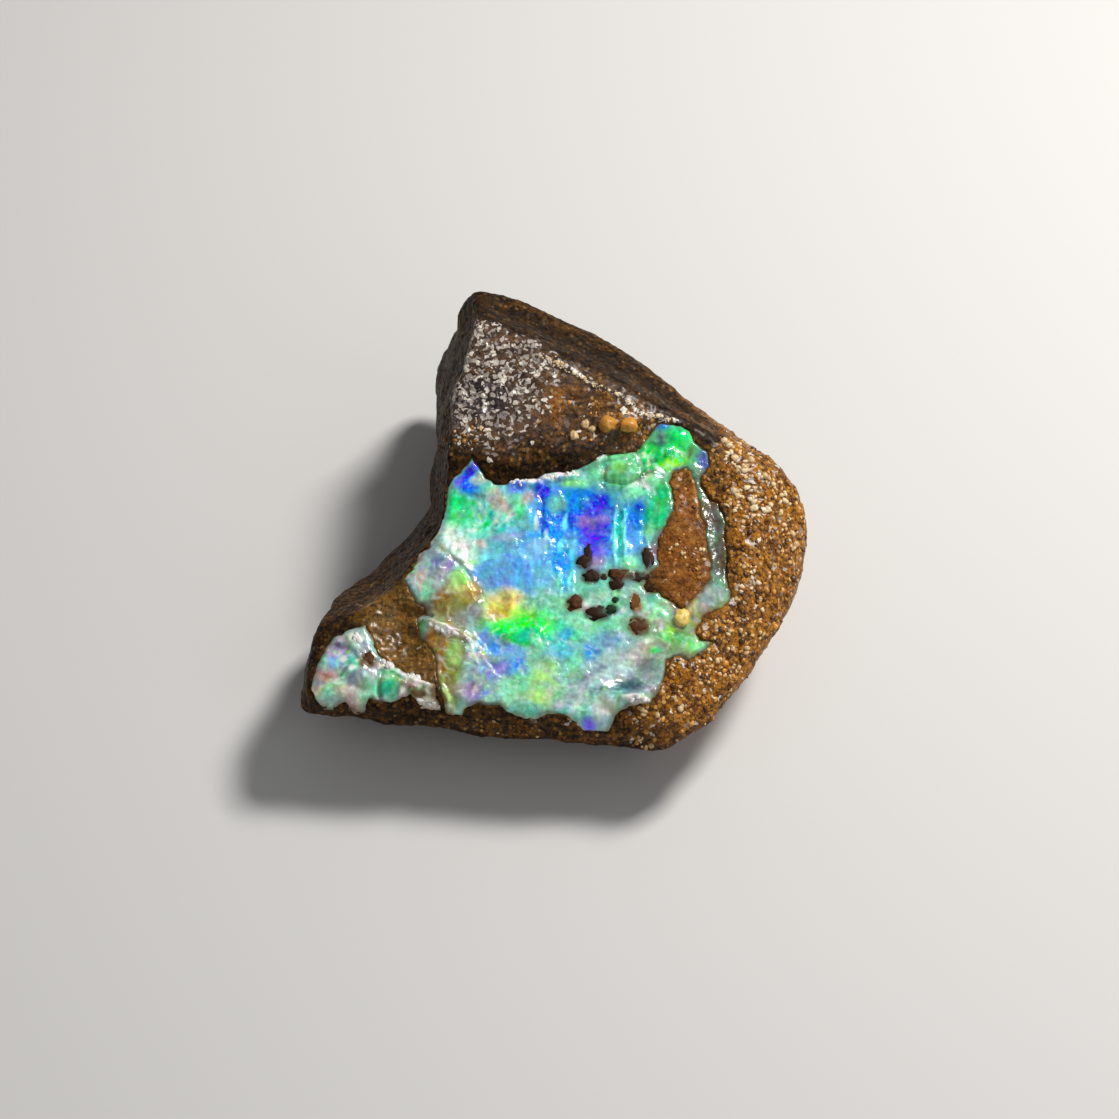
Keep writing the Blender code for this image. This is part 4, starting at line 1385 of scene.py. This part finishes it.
# A zone's last number is how crowded its painted glints are.
IRONSTONE_ZONES = (
    Zone("right side", Oval(6.6, -1.8, 6.0, 2.2, 95.0), Earth.OCHRE, 1.0, 0.5, 0.12),
    Zone("lower right corner", Oval(4.6, -5.6, 2.6, 1.6, 40.0), Earth.OCHRE, 0.9, 0.4, 0.12),
    Zone(
        "edge of the lens",
        Band(((4.75, 3.4), (4.9, 2.2), (5.15, 0.2), (5.3, -1.8)), 0.4),
        Earth.SMOKE, 0.6, 0.3, 0.05,
    ),
    Zone("lens", Oval(3.95, -0.6, 2.9, 1.25, 102.0), Earth.LENS, 0.3, 0.15, 0.04),
    Zone("front lip", Oval(-1.0, -7.4, 6.5, 1.1, -3.0), Earth.LIP, 0.45, 0.15, 0.12),
    Zone("hollow", Oval(-4.9, -3.7, 1.9, 1.3, 115.0), Earth.HOLLOW, 0.25, 0.5, 0.05),
    Zone("glossy facet", Oval(-2.2, 4.9, 2.2, 2.45, 0.0), Earth.FACET, 0.1, 0.9, 0.95),
    Zone("lilac part of the facet", Oval(-2.5, 4.4, 1.1, 0.8), Earth.LILAC, 0.0, 1.0, 0.85),
    Zone("rusty facet", Oval(1.3, 3.8, 2.2, 1.7, 0.0), Earth.FACET, 0.2, 0.3, 0.15),
    Zone("left rust", Oval(0.0, 3.95, 0.3, 0.65, -10.0), Earth.OCHRE, 0.3, 0.3, 0.1),
    Zone("middle rust", Oval(0.6, 4.4, 0.22, 0.35), Earth.RUST, 0.2, 0.3, 0.0),
    Zone("right rust", Oval(1.35, 4.1, 0.45, 0.5), Earth.RUST, 0.3, 0.3, 0.05),
    Zone("rust by the grains", Oval(2.6, 3.4, 1.0, 0.5, -20.0), Earth.RUST, 0.5, 0.4, 0.25),
    # the chamfer takes the sides' dark brown with its painted shade
    Zone(
        "chamfer",
        Band(((-2.9, 7.9), (-0.9, 7.0), (0.9, 6.1), (2.4, 5.1), (3.7, 4.3), (5.0, 3.3)), 0.62),
        Earth.SHADED_WALL, 0.05, 0.12, 0.0,
    ),
    # painted highlight: a line of glints along the facet's ridge
    Zone(
        "bright ridge",
        Band(
            ((-0.9, 5.9), (0.15, 5.35), (0.9, 4.93), (1.4, 4.62), (2.05, 4.3), (2.65, 3.7), (3.9, 3.6)), 0.1
        ),
        Earth.FACET, 0.1, 0.9, 1.0,
    ),
)


@dataclass
class Ironstone:
    """The body of the stone: sandy ironstone, broken on top, weathered round the sides."""

    finish: IronstoneFinish
    voxel: float = 0.129
    socket_depth: float = 0.32
    grain_size: float = 0.19
    grain_width: float = 0.62
    grain_rise: float = 0.05
    grain_drift: Waves = Waves(0.05, 0.2, 1.4)
    rough: tuple[Waves, ...] = (Waves(0.04, 0.45, 3.1), Waves(0.025, 0.2, 6.3))
    worms: Waves = Waves(1.0, 0.28, 4.4)
    worm_rise: float = 0.05
    face_low: float = -1.6
    side_facing: float = 0.2
    fine_facing: float = 0.25
    fine_low: float = -3.5
    fine_depth: float = 0.25
    zone_drift: tuple[Waves, ...] = (Waves(0.18, 0.9, 2.2), Waves(0.18, 0.9, 5.2))
    tones: tuple[Waves, ...] = (Waves(0.3, 1.4, 7.7), Waves(0.3, 0.35, 1.7))

    def build(self, effects: Effects, ground: Ground) -> bpy.types.Object:
        """Makes the ironstone.

        Args:
            effects: The shared effects.
            ground: The lie of the face.

        Returns:
            The piece.
        """
        mesh = self._fine_mesh(ground)
        points, outwards = vertex_rows(mesh, "co"), vertex_rows(mesh, "normal")
        uvw, spots = to_face(points), points / MM
        facing = outwards @ np.array(FACE_AXES.col[2])
        beside = (facing < self.side_facing) | (uvw[:, 2] < self.face_low)
        depth = np.where(beside, -1.0, ground.opal_depth(uvw))
        looks = self._zones(uvw, spots, facing)
        lift = np.where(depth > 0.0, 0.0, self._relief(spots, looks["sandy"], looks["wet"]))
        lift -= self.socket_depth * ease(-0.03, 0.12, depth)
        place(mesh, points + outwards * lift[:, None] * MM)
        for name, values in looks.items():
            paint(mesh, name, values)
        return new_piece("ironstone", mesh, self.finish.material(effects))

    def _fine_mesh(self, ground: Ground) -> bpy.types.Mesh:
        """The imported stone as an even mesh, fine on the broken face and coarser elsewhere.

        Args:
            ground: The lie of the face.

        Returns:
            The mesh.
        """
        bm = stone_bmesh()
        rough = bpy.data.meshes.new("rough stone")
        bm.to_mesh(rough)
        blank = bpy.data.objects.new("rough stone", rough)
        bpy.context.scene.collection.objects.link(blank)
        remesh = blank.modifiers.new("even", "REMESH")
        remesh.mode, remesh.voxel_size = "VOXEL", self.voxel * MM
        even = bpy.data.meshes.new_from_object(blank.evaluated_get(bpy.context.evaluated_depsgraph_get()))
        bpy.data.objects.remove(blank)
        bm.clear()
        bm.from_mesh(even)
        axes = {"use_axis_x": True, "use_axis_y": True, "use_axis_z": True}
        for _ in range(2):
            bmesh.ops.smooth_vert(bm, verts=bm.verts, factor=0.5, **axes)
        bm.normal_update()
        uvw = to_face(np.array([v.co for v in bm.verts]))
        facing = np.array([v.normal for v in bm.verts]) @ np.array(FACE_AXES.col[2])
        shown = (facing > self.fine_facing) & (uvw[:, 2] > self.fine_low)
        shown &= ground.opal_depth(uvw) < self.fine_depth
        fine = {vert for vert, seen in zip(bm.verts, shown) if seen}
        edges = [e for e in bm.edges if e.verts[0] in fine and e.verts[1] in fine]
        bmesh.ops.subdivide_edges(bm, edges=edges, cuts=1, use_grid_fill=True, smooth=0.6)
        bmesh.ops.triangulate(bm, faces=[f for f in bm.faces if len(f.verts) > 4])
        return mesh_from(bm, "ironstone")

    def _zones(self, uvw: Field, spots: Field, facing: Field) -> dict[str, Field]:
        """Looks of places on the ironstone.

        Args:
            uvw: The places on the face.
            spots: The same places on the stone, in millimetres.
            facing: How far the surface faces the same way as the face.

        Returns:
            The brown, how sandy it is, how wet it looks and how crowded its painted glints are, by name.
        """
        u, v = (uvw[:, axis] + waves.at(spots) for axis, waves in enumerate(self.zone_drift))
        # everything starts as the sides' brown with its painted shade; only places that face up take the
        # zones
        colour = np.tile(np.array(Earth.SHADED_WALL.rgb), (len(u), 1))
        right = ease(3.0, 6.0, u)
        tint(colour, Earth.OCHRE.rgb, right)
        looks = {"sandy": 0.12 + 0.68 * right, "wet": 0.25 * right, "glint": 0.1 * right}
        top = ease(0.35, 0.75, facing) * ease(-3.4, -2.4, uvw[:, 2])
        for zone in IRONSTONE_ZONES:
            mask = zone.shape.mask(u, v, 0.35) * top
            tint(colour, zone.earth.rgb, mask)
            for name, look in looks.items():
                look += (getattr(zone, name) - look) * mask
        tone = 1.0 + sum(waves.at(spots) for waves in self.tones)
        earth = np.column_stack((np.clip(colour * tone[:, None], 0, 1), np.ones(len(u))))
        return {"earth": earth, **looks}

    def _relief(self, spots: Field, sandy: Field, wet: Field) -> Field:
        """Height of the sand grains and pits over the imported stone.

        Args:
            spots: Places on the stone, in millimetres.
            sandy: How sandy each is.
            wet: How wet it looks.

        Returns:
            The height at each place.
        """
        near, own = cells_at(spots + self.grain_drift.at(spots)[:, None], self.grain_size, seed=0.7)
        grains = self.grain_rise * domes(near, self.grain_width) * (0.2 + 0.8 * own[:, 0])
        worms = np.clip(1.0 - np.abs(self.worms.at(spots)) / 0.3, 0.0, 1.0) ** 0.7
        rough = sum(waves.at(spots) for waves in self.rough) - 0.02
        return grains * (0.3 + 0.7 * sandy) + rough + self.worm_rise * worms * wet


# ---------------------------------------------------------------- the opal


SEAM_FORMS = (
    Crest(
        "sunken band of dull opal",
        ((4.85, 2.1), (4.8, 1.2), (5.0, 0.4), (5.15, -0.6), (5.2, -1.5)),
        0.5, -0.10,
    ),
    Crest(
        "crack beside the shard",
        ((-3.9, -0.75), (-3.45, -1.05), (-3.0, -1.45), (-2.7, -2.0), (-2.55, -2.4)),
        0.12, -0.05,
    ),
    Crest("crack at the foot of the shard", ((-4.6, -2.5), (-4.3, -2.9), (-4.0, -3.05)), 0.09, -0.12),
    Crest(
        "rim of the milky crescent", ((-3.8, 0.3), (-3.7, -0.25), (-3.55, -0.7), (-3.05, -1.2)), 0.16, 0.03
    ),
    Crest("bright ledge", ((-4.15, -3.15), (-3.6, -3.4), (-3.05, -3.65), (-2.8, -3.9)), 0.14, 0.12),
    Crest("second ledge", ((-2.9, -3.5), (-2.55, -3.75), (-2.3, -4.1)), 0.10, 0.07),
    Crest("yellow ridge", ((-3.75, -5.0), (-3.6, -5.6), (-3.3, -6.2)), 0.10, 0.08),
    Crest("ridge of the wedge", ((-5.4, -4.75), (-4.9, -5.05), (-4.3, -5.3), (-3.9, -5.5)), 0.16, 0.12),
    Crest("cleft in the tip", ((-5.55, -4.95), (-5.6, -5.7)), 0.12, -0.14),
    Crest("lit edge of the tip", ((-7.0, -3.9), (-6.5, -4.1), (-6.2, -4.4)), 0.18, 0.10),
    Crest("upper rim, left", ((-1.5, 1.4), (-1.0, 1.35), (-0.6, 1.3)), 0.16, 0.10),
    Crest("upper rim, middle", ((-0.6, 1.4), (-0.1, 1.6), (0.5, 1.65)), 0.18, 0.12),
    Crest("upper rim, right", ((0.9, 2.0), (1.5, 2.25), (2.2, 2.35)), 0.16, 0.10),
    Crest("rim of the corner scallop", ((2.0, -5.8), (2.4, -5.75), (2.9, -5.95)), 0.16, 0.12),
    Crest("flute left of the blue", ((-0.5, 1.1), (-0.5, -0.4)), 0.10, -0.05),
    Crest("flute under the azure", ((0.1, -1.6), (0.1, -2.4)), 0.07, 0.05),
    Crest("second flute under the azure", ((0.47, -1.6), (0.47, -2.3)), 0.06, 0.04),
    Crest("left stripe flute", ((1.83, 0.6), (1.83, -1.4)), 0.09, 0.06),
    Crest("right stripe flute", ((2.14, 0.5), (2.14, -1.2)), 0.09, 0.06),
    Crest("flute right of the stripes", ((2.75, 0.7), (2.75, -0.6)), 0.12, -0.05),
    Crest("cleft below the green top", ((2.6, 2.0), (3.2, 2.15), (3.7, 2.45)), 0.10, -0.10),
    Crest("cleft round the lump", ((1.5, 1.6), (1.45, 2.1), (1.7, 2.45)), 0.10, -0.10),
    Crest("cleft under the lump", ((1.5, 1.55), (2.0, 1.35), (2.6, 1.5)), 0.10, -0.08),
)


@dataclass
class OpalSeam:
    """The sheet of opal that fills the broken face, with the small forms of its glassy surface.

    Its faces are sorted along one direction, so that each run gives them in the same order.
    """

    finish: OpalFinish
    colours: PlayOfColour = field(default_factory=PlayOfColour)
    cell: float = 0.16
    cuts: int = 3
    left: float = -8.32
    bottom: float = -7.36
    columns: int = 88
    rows: int = 70
    margin: float = 0.14
    rim_depth: float = -0.03
    rim_steps: int = 4
    probe: float = 0.02
    longest_step: float = 0.05
    sink: float = 0.12
    thickness: float = 0.7
    least_thickness: float = 0.04
    ripple: Waves = Waves(0.08, 0.3, 7.0)
    waves: tuple[Waves, ...] = (Waves(0.04, 0.6, 5.5), Waves(0.015, 0.16, 2.1))
    lump_rise: float = 0.05
    bead_rise: float = 0.02
    order: Point3 = (1.0, 0.0137, 0.000291)

    def build(self, effects: Effects, ground: Ground) -> bpy.types.Object:
        """Makes the seam.

        Args:
            effects: The shared effects.
            ground: The lie of the face.

        Returns:
            The piece.
        """
        bm = self._flat_sheet(ground)
        top = list(bm.faces)
        under = bmesh.ops.extrude_face_region(bm, geom=top, use_keep_orig=True)["geom"]
        low = [item for item in under if isinstance(item, bmesh.types.BMVert)]
        bmesh.ops.translate(bm, vec=Vector((0, 0, -1)), verts=low)
        bmesh.ops.recalc_face_normals(bm, faces=bm.faces)
        sheet = {f for f in bm.faces if all(v.co.z > -0.5 for v in f.verts)}
        edges = [e for e in bm.edges if not sheet.isdisjoint(e.link_faces)]
        bmesh.ops.subdivide_edges(bm, edges=edges, cuts=self.cuts, use_grid_fill=True)
        bmesh.ops.triangulate(bm, faces=[f for f in bm.faces if len(f.verts) > 4])
        bm.faces.sort(key=lambda face: face.calc_center_median().dot(self.order))
        mesh = mesh_from(bm, "opal_seam")
        self._shape(mesh, ground)
        return new_piece("opal_seam", mesh, self.finish.material(effects))

    def _flat_sheet(self, ground: Ground) -> bmesh.types.BMesh:
        """The opal's outline as a flat sheet of squares, in millimetres on the face."""
        bm = bmesh.new()
        half = Vector((self.columns * self.cell / 2, self.rows * self.cell / 2, 1.0))
        bmesh.ops.create_grid(bm, x_segments=self.columns, y_segments=self.rows, size=1.0)
        bmesh.ops.scale(bm, vec=half, verts=bm.verts)
        bmesh.ops.translate(bm, vec=Vector((self.left + half.x, self.bottom + half.y, 0.0)), verts=bm.verts)
        depth = ground.opal_depth(np.array([v.co for v in bm.verts]))
        outside = [v for v, d in zip(bm.verts, depth) if d < -self.margin]
        bmesh.ops.delete(bm, geom=outside, context="VERTS")
        bmesh.ops.delete(bm, geom=[v for v in bm.verts if not v.link_faces], context="VERTS")
        self._trim(bm, ground)
        return bm

    def _trim(self, bm: bmesh.types.BMesh, ground: Ground) -> None:
        """Draws the rim of the flat sheet onto the edge of the opal.

        Args:
            bm: The sheet, which is changed.
            ground: The lie of the face.
        """
        rim = [v for v in bm.verts if v.is_boundary]
        for _ in range(self.rim_steps):
            places = np.array([v.co for v in rim])
            depth = ground.opal_depth(places)
            beside = [ground.opal_depth(places + self.probe * axis) for axis in np.eye(3)[:2]]
            slope = np.stack([(there - depth) / self.probe for there in beside], 1)
            move = (self.rim_depth - depth)[:, None] * slope / np.maximum((slope**2).sum(1), 0.4)[:, None]
            for vert, (x, y) in zip(rim, np.clip(move, -self.longest_step, self.longest_step)):
                vert.co += Vector((x, y, 0.0))

    def _shape(self, mesh: bpy.types.Mesh, ground: Ground) -> None:
        """Lays the flat sheet on the face and gives its vertices their colours.

        Args:
            mesh: The sheet, flat and in millimetres on the face.
            ground: The lie of the face.
        """
        uvw = vertex_rows(mesh, "co")
        upper = uvw[:, 2] > -0.5
        depth = ground.opal_depth(uvw)
        height = ground.height(uvw[:, 0], uvw[:, 1])
        fine = self._fine_relief(uvw, depth)
        top = height + fine - self.sink * ease(0.10, -0.05, depth) - ground.lip_drop(uvw[:, 0], uvw[:, 1])
        under = top - self.least_thickness - self.thickness * ease(0.0, 0.5, depth)
        uvw[:, 2] = np.where(upper, top, under)
        paint(mesh, "play", self.colours.at(uvw, depth))
        place(mesh, from_face(uvw))

    def _fine_relief(self, uvw: Field, depth: Field) -> Field:
        """Height of the small waves, lumps and named forms of the opal, which lies flush along its edge."""
        places = flat(uvw) + self.ripple.at(flat(uvw))[:, None]
        near, own = cells_at(places, 0.42, seed=2.9)
        lumps = self.lump_rise * domes(near, 0.7) * (own[:, 0] - 0.3)
        small, other = cells_at(places, 0.17, seed=1.9)
        beads = self.bead_rise * domes(small, 0.6) * other[:, 0] ** 2
        rough = lumps + beads + sum(waves.at(places) for waves in self.waves)
        named = sum(form.height(places[:, 0], places[:, 1]) for form in SEAM_FORMS)
        return rough * ease(-0.05, 0.25, depth) + named


# ---------------------------------------------------------------- grains


@dataclass(frozen=True)
class Scatter:
    """A field of loose grains: where they fall, how many, their smallest and largest half length."""

    name: str
    oval: Oval
    count: int
    smallest: float
    largest: float
    stains: tuple[Stain, ...]


GOLDEN = (Stain.GOLD, Stain.AMBER, Stain.HONEY, Stain.BROWN)
# partly painted highlights: cream and white grains where the sand and the ridge glint
GLINTS = (Stain.FROST, Stain.CREAM)
WHITE_GLINTS = (Stain.FROST,)
HIGHLIGHT_WHITE = (Stain.HIGHLIGHT_WHITE,)

SAND_FIELDS = (
    Scatter("right side", Oval(6.4, -1.6, 5.6, 1.7, 95.0), 340, 0.05, 0.14, GOLDEN),
    Scatter(
        "lower right", Oval(4.3, -5.4, 2.5, 1.3, 35.0), 200, 0.05, 0.12,
        (Stain.GOLD, Stain.AMBER, Stain.CREAM, Stain.BROWN),
    ),
    Scatter(
        "lens", Oval(4.1, -0.3, 2.2, 0.7, 100.0), 30, 0.04, 0.08, (Stain.AMBER, Stain.GOLD, Stain.BROWN)
    ),
    # cream-white grains on the lens and the right side: partly pale quartz, partly painted glints of the wet
    # sand
    Scatter(
        "glints on the lens", Oval(4.1, -0.9, 0.7, 0.35, -20.0), 14, 0.05, 0.09, (Stain.CREAM, Stain.FROST)
    ),
    Scatter("glints, top right", Oval(5.75, 2.45, 0.75, 0.4, -60.0), 40, 0.06, 0.15, GLINTS),
    Scatter("glints, middle", Oval(5.9, 0.85, 0.8, 0.45, 10.0), 30, 0.06, 0.15, GLINTS),
    Scatter("glints, right edge", Oval(7.15, 0.6, 1.3, 0.5, -70.0), 36, 0.06, 0.14, GLINTS),
    Scatter("glints, low right", Oval(5.6, -3.4, 2.6, 0.9, 70.0), 44, 0.05, 0.12, GLINTS),
    # painted highlight: white grains along the facet's ridge stand for its line of glints
    Scatter("ridge, left", Oval(0.15, 5.35, 0.9, 0.10, -28.0), 30, 0.03, 0.09, GLINTS),
    Scatter("ridge, middle", Oval(1.4, 4.62, 0.8, 0.06, -26.0), 26, 0.03, 0.07, WHITE_GLINTS),
    Scatter("ridge, right", Oval(2.35, 4.0, 0.5, 0.05, -48.0), 16, 0.03, 0.07, WHITE_GLINTS),
    Scatter("ridge, end", Oval(3.2, 3.66, 0.5, 0.07, -6.0), 20, 0.03, 0.09, WHITE_GLINTS),
    Scatter(
        "left end of the facet", Oval(-3.1, 3.1, 0.8, 0.4), 26, 0.05, 0.11,
        (Stain.CREAM, Stain.HONEY, Stain.BROWN),
    ),
    Scatter(
        "rusty facet", Oval(1.2, 3.7, 2.2, 1.1), 20, 0.05, 0.09, (Stain.AMBER, Stain.GOLD, Stain.BROWN)
    ),
    Scatter(
        "front lip", Oval(-1.0, -7.0, 6.0, 0.6, -3.0), 80, 0.05, 0.11,
        (Stain.AMBER, Stain.BROWN, Stain.CREAM),
    ),
)
# White chips set where the opal glints: real bumps whose white is a painted highlight.
CHIP_FIELDS = (
    Scatter("wedge", Oval(-4.83, -5.04, 1.05, 0.09, -26.8), 18, 0.05, 0.16, HIGHLIGHT_WHITE),
    Scatter("foot of the wedge", Oval(-4.08, -5.95, 0.43, 0.08, -11.3), 10, 0.06, 0.16, HIGHLIGHT_WHITE),
    Scatter("ledge", Oval(-3.56, -3.55, 0.60, 0.08, -24.8), 13, 0.06, 0.14, HIGHLIGHT_WHITE),
    Scatter("below the ledge", Oval(-2.68, -4.23, 0.50, 0.22, -47.7), 12, 0.04, 0.10, HIGHLIGHT_WHITE),
    Scatter("upper rim, left", Oval(-1.11, 1.42, 0.42, 0.10, -2.7), 13, 0.04, 0.10, HIGHLIGHT_WHITE),
    Scatter("upper rim, middle", Oval(-0.30, 1.58, 0.42, 0.10, 17.3), 14, 0.04, 0.10, HIGHLIGHT_WHITE),
    Scatter("upper rim, right", Oval(0.49, 1.72, 0.24, 0.10, 3.8), 8, 0.04, 0.10, HIGHLIGHT_WHITE),
    Scatter("corner scallop", Oval(2.59, -5.92, 0.47, 0.07, -4.3), 14, 0.06, 0.14, HIGHLIGHT_WHITE),
    Scatter("top of the tip", Oval(-6.30, -3.85, 0.22, 0.12, -10.4), 8, 0.06, 0.16, HIGHLIGHT_WHITE),
    Scatter("lump", Oval(1.41, 2.33, 0.30, 0.07, 26.2), 7, 0.04, 0.08, HIGHLIGHT_WHITE),
    Scatter("wing", Oval(2.75, 1.5, 0.50, 0.22, -26.2), 9, 0.03, 0.08, HIGHLIGHT_WHITE),
)


def scattered(fields: Iterable[Scatter], ground: Ground, on_opal: bool, seed: int = 11) -> list[Grain]:
    """Throws loose grains.

    Args:
        fields: Where they fall.
        ground: The lie of the face, which tells where the opal is.
        on_opal: True to keep those that fall on the opal, False for those beside it.
        seed: Start of the throw.

    Returns:
        The grains.
    """
    dice = random.Random(seed)
    grains = []
    for sand in fields:
        lean = math.radians(sand.oval.turn)
        for _ in range(sand.count):
            turn, reach = dice.uniform(0.0, math.tau), math.sqrt(dice.random())
            along = sand.oval.half_length * reach * math.cos(turn)
            across = sand.oval.half_width * reach * math.sin(turn)
            u = sand.oval.u + along * math.cos(lean) - across * math.sin(lean)
            v = sand.oval.v + along * math.sin(lean) + across * math.cos(lean)
            size = sand.smallest + (sand.largest - sand.smallest) * dice.random() ** 2
            oval = Oval(u, v, size, size * dice.uniform(0.55, 0.95), dice.uniform(0.0, 180.0))
            grains.append(Grain(sand.name, oval, dice.choice(sand.stains)))
    depth = ground.opal_depth(np.array([(grain.oval.u, grain.oval.v, 0.0) for grain in grains]))
    return [grain for grain, inside in zip(grains, depth) if (inside > 0.02 if on_opal else inside < -0.12)]


@dataclass(frozen=True)
class Grains:
    """Grains set in the surface that they lie on, all in one piece.

    A grain's height is a share of its width. Its bedding is how far its middle lies above the surface, as a
    share of that height.
    """

    name: str
    finish: GrainFinish
    parts: tuple[int, int]
    height_share: float
    bedding: float
    lumpiness: float
    lump_size: float

    def build(self, grains: Iterable[Grain], effects: Effects, surface: Surface) -> bpy.types.Object:
        """Makes the piece.

        Args:
            grains: The grains.
            effects: The shared effects.
            surface: What the grains lie on.

        Returns:
            The piece.
        """
        ball, sides = self._ball()
        points, faces, stains = [], [], []
        for grain in grains:
            oval = grain.oval
            spot = surface.drop(oval.u, oval.v)
            if spot is None:
                continue
            height = self.height_share * min(oval.half_length, oval.half_width)
            lumps = noise_at(ball, self.lump_size, seed=oval.u * 9.0 + oval.v * 5.0)
            halves = np.array((oval.half_length, oval.half_width, height))
            scaled = ball * (1.0 + self.lumpiness * lumps)[:, None] * halves
            turn = np.array(Matrix.Rotation(math.radians(oval.turn), 3, "Z"))
            faces += [[corner + len(ball) * len(points) for corner in side] for side in sides]
            points.append(scaled @ turn.T + np.array((oval.u, oval.v, spot + height * self.bedding)))
            tone = 1.0 + 0.35 * noise.noise(Vector((oval.u * 5.0, oval.v * 5.0, 3.0)))
            stains += [(*(min(1.0, tone * c) for c in grain.stain.rgb), 1.0)] * len(ball)
        mesh = bpy.data.meshes.new(self.name)
        mesh.from_pydata(from_face(np.concatenate(points)), [], faces)
        paint(mesh, "stain", np.array(stains))
        return new_piece(self.name, mesh, self.finish.material(effects))

    def _ball(self) -> tuple[Field, list[list[int]]]:
        """The corners of a round grain, and the numbers of each side's corners."""
        bm = bmesh.new()
        bmesh.ops.create_uvsphere(bm, u_segments=self.parts[0], v_segments=self.parts[1], radius=1.0)
        bm.verts.index_update()
        ball = np.array([v.co for v in bm.verts])
        sides = sorted([v.index for v in f.verts] for f in bm.faces)
        bm.free()
        return ball, sides


INCLUSIONS = Grains(
    "inclusions",
    GrainFinish("dark grains", roughness=0.6, specular=0.2),
    parts=(14, 9), height_share=0.24, bedding=-0.25, lumpiness=0.75, lump_size=0.6,
)
PALE = Grains(
    "pale_grains",
    GrainFinish("pale grains", roughness=0.35, specular=0.5),
    parts=(14, 9), height_share=0.7, bedding=-0.05, lumpiness=0.5, lump_size=0.6,
)
SAND = Grains(
    "sand_grains",
    GrainFinish("sand grains", roughness=0.4, specular=0.4),
    parts=(7, 5), height_share=0.5, bedding=0.1, lumpiness=0.5, lump_size=0.8,
)
CHIPS = Grains(
    "opal_chips",
    GrainFinish("painted glint chips", roughness=0.2, specular=0.5),
    parts=(8, 5), height_share=0.35, bedding=0.0, lumpiness=0.6, lump_size=0.9,
)


# ---------------------------------------------------------------- the studio


@dataclass(frozen=True)
class Lamp:
    """A soft square light: its place and side in millimetres, its power in watts and its colour."""

    name: str
    at: Point3
    side: float
    energy: float
    colour: Point3


@dataclass
class Studio:
    """Floor, lights and camera."""

    target: Point3 = (0.1024, -2.5562, 4.8105)
    distance: float = 99.467
    elevation: float = 52.0
    lens: float = 100.0
    sensor: float = 36.0
    floor_side: float = 400.0
    floor_grey: Point3 = (0.74, 0.73, 0.72)
    air: float = 0.16
    lamps: tuple[Lamp, ...] = (
        Lamp("key", (58.0, 44.0, 98.0), 26.0, 0.140, (1.0, 0.98, 0.94)),
        Lamp("fill", (60.0, -70.0, 70.0), 90.0, 0.020, (0.96, 0.98, 1.0)),
    )

    def build(self) -> None:
        """Makes the studio."""
        scene = bpy.context.scene
        scene.view_settings.view_transform = "Standard"
        self._camera(scene)
        self._floor()
        for lamp in self.lamps:
            self._light(lamp)
        scene.world = bpy.data.worlds.new("studio air")
        scene.world.use_nodes = True
        air = scene.world.node_tree.nodes["Background"].inputs
        air["Color"].default_value = (1.0, 1.0, 1.0, 1.0)
        air["Strength"].default_value = self.air

    def _aim(self, thing: bpy.types.Object, at: Vector) -> None:
        """Puts a light or the camera in place, in millimetres, and turns it towards the stone."""
        thing.location = at * MM
        thing.rotation_mode = "QUATERNION"
        thing.rotation_quaternion = (Vector(self.target) - at).to_track_quat("-Z", "Y")

    def _camera(self, scene: bpy.types.Scene) -> None:
        """Makes the camera."""
        lens = bpy.data.cameras.new("camera")
        lens.lens, lens.sensor_width, lens.clip_start, lens.clip_end = self.lens, self.sensor, 0.001, 10.0
        scene.camera = linked("camera", lens)
        tilt = math.radians(self.elevation)
        back = Vector((0.0, -math.cos(tilt), math.sin(tilt)))
        self._aim(scene.camera, Vector(self.target) + back * self.distance)

    def _light(self, lamp: Lamp) -> None:
        """Makes a soft light."""
        light = bpy.data.lights.new(lamp.name, "AREA")
        light.size, light.energy, light.color = lamp.side * MM, lamp.energy, lamp.colour
        self._aim(linked(lamp.name, light), Vector(lamp.at))

    def _floor(self) -> None:
        """Makes the floor."""
        bm = bmesh.new()
        bmesh.ops.create_grid(bm, x_segments=1, y_segments=1, size=self.floor_side * MM / 2)
        mesh = mesh_from(bm, "floor")
        material, graph = start_material("pale floor")
        graph.finish(Base_Color=rgba(self.floor_grey), Roughness=0.8)
        mesh.materials.append(material)
        linked("floor", mesh)


def main() -> None:
    """Builds the dressed stone and its studio."""
    logging.basicConfig(level=logging.INFO, format="%(name)s: %(message)s")
    Studio().build()
    effects = Effects()
    ground = Ground()
    LOG.info("the face is measured")
    stone = Ironstone(IronstoneFinish()).build(effects, ground)
    seam = OpalSeam(OpalFinish()).build(effects, ground)
    surface = Surface((stone, seam))
    for grains, kind in (
        (DARK_GRAINS, INCLUSIONS),
        (PALE_GRAINS, PALE),
        (scattered(SAND_FIELDS, ground, on_opal=False), SAND),
        (scattered(CHIP_FIELDS, ground, on_opal=True), CHIPS),
    ):
        kind.build(grains, effects, surface)


if __name__ == "__main__":
    main()
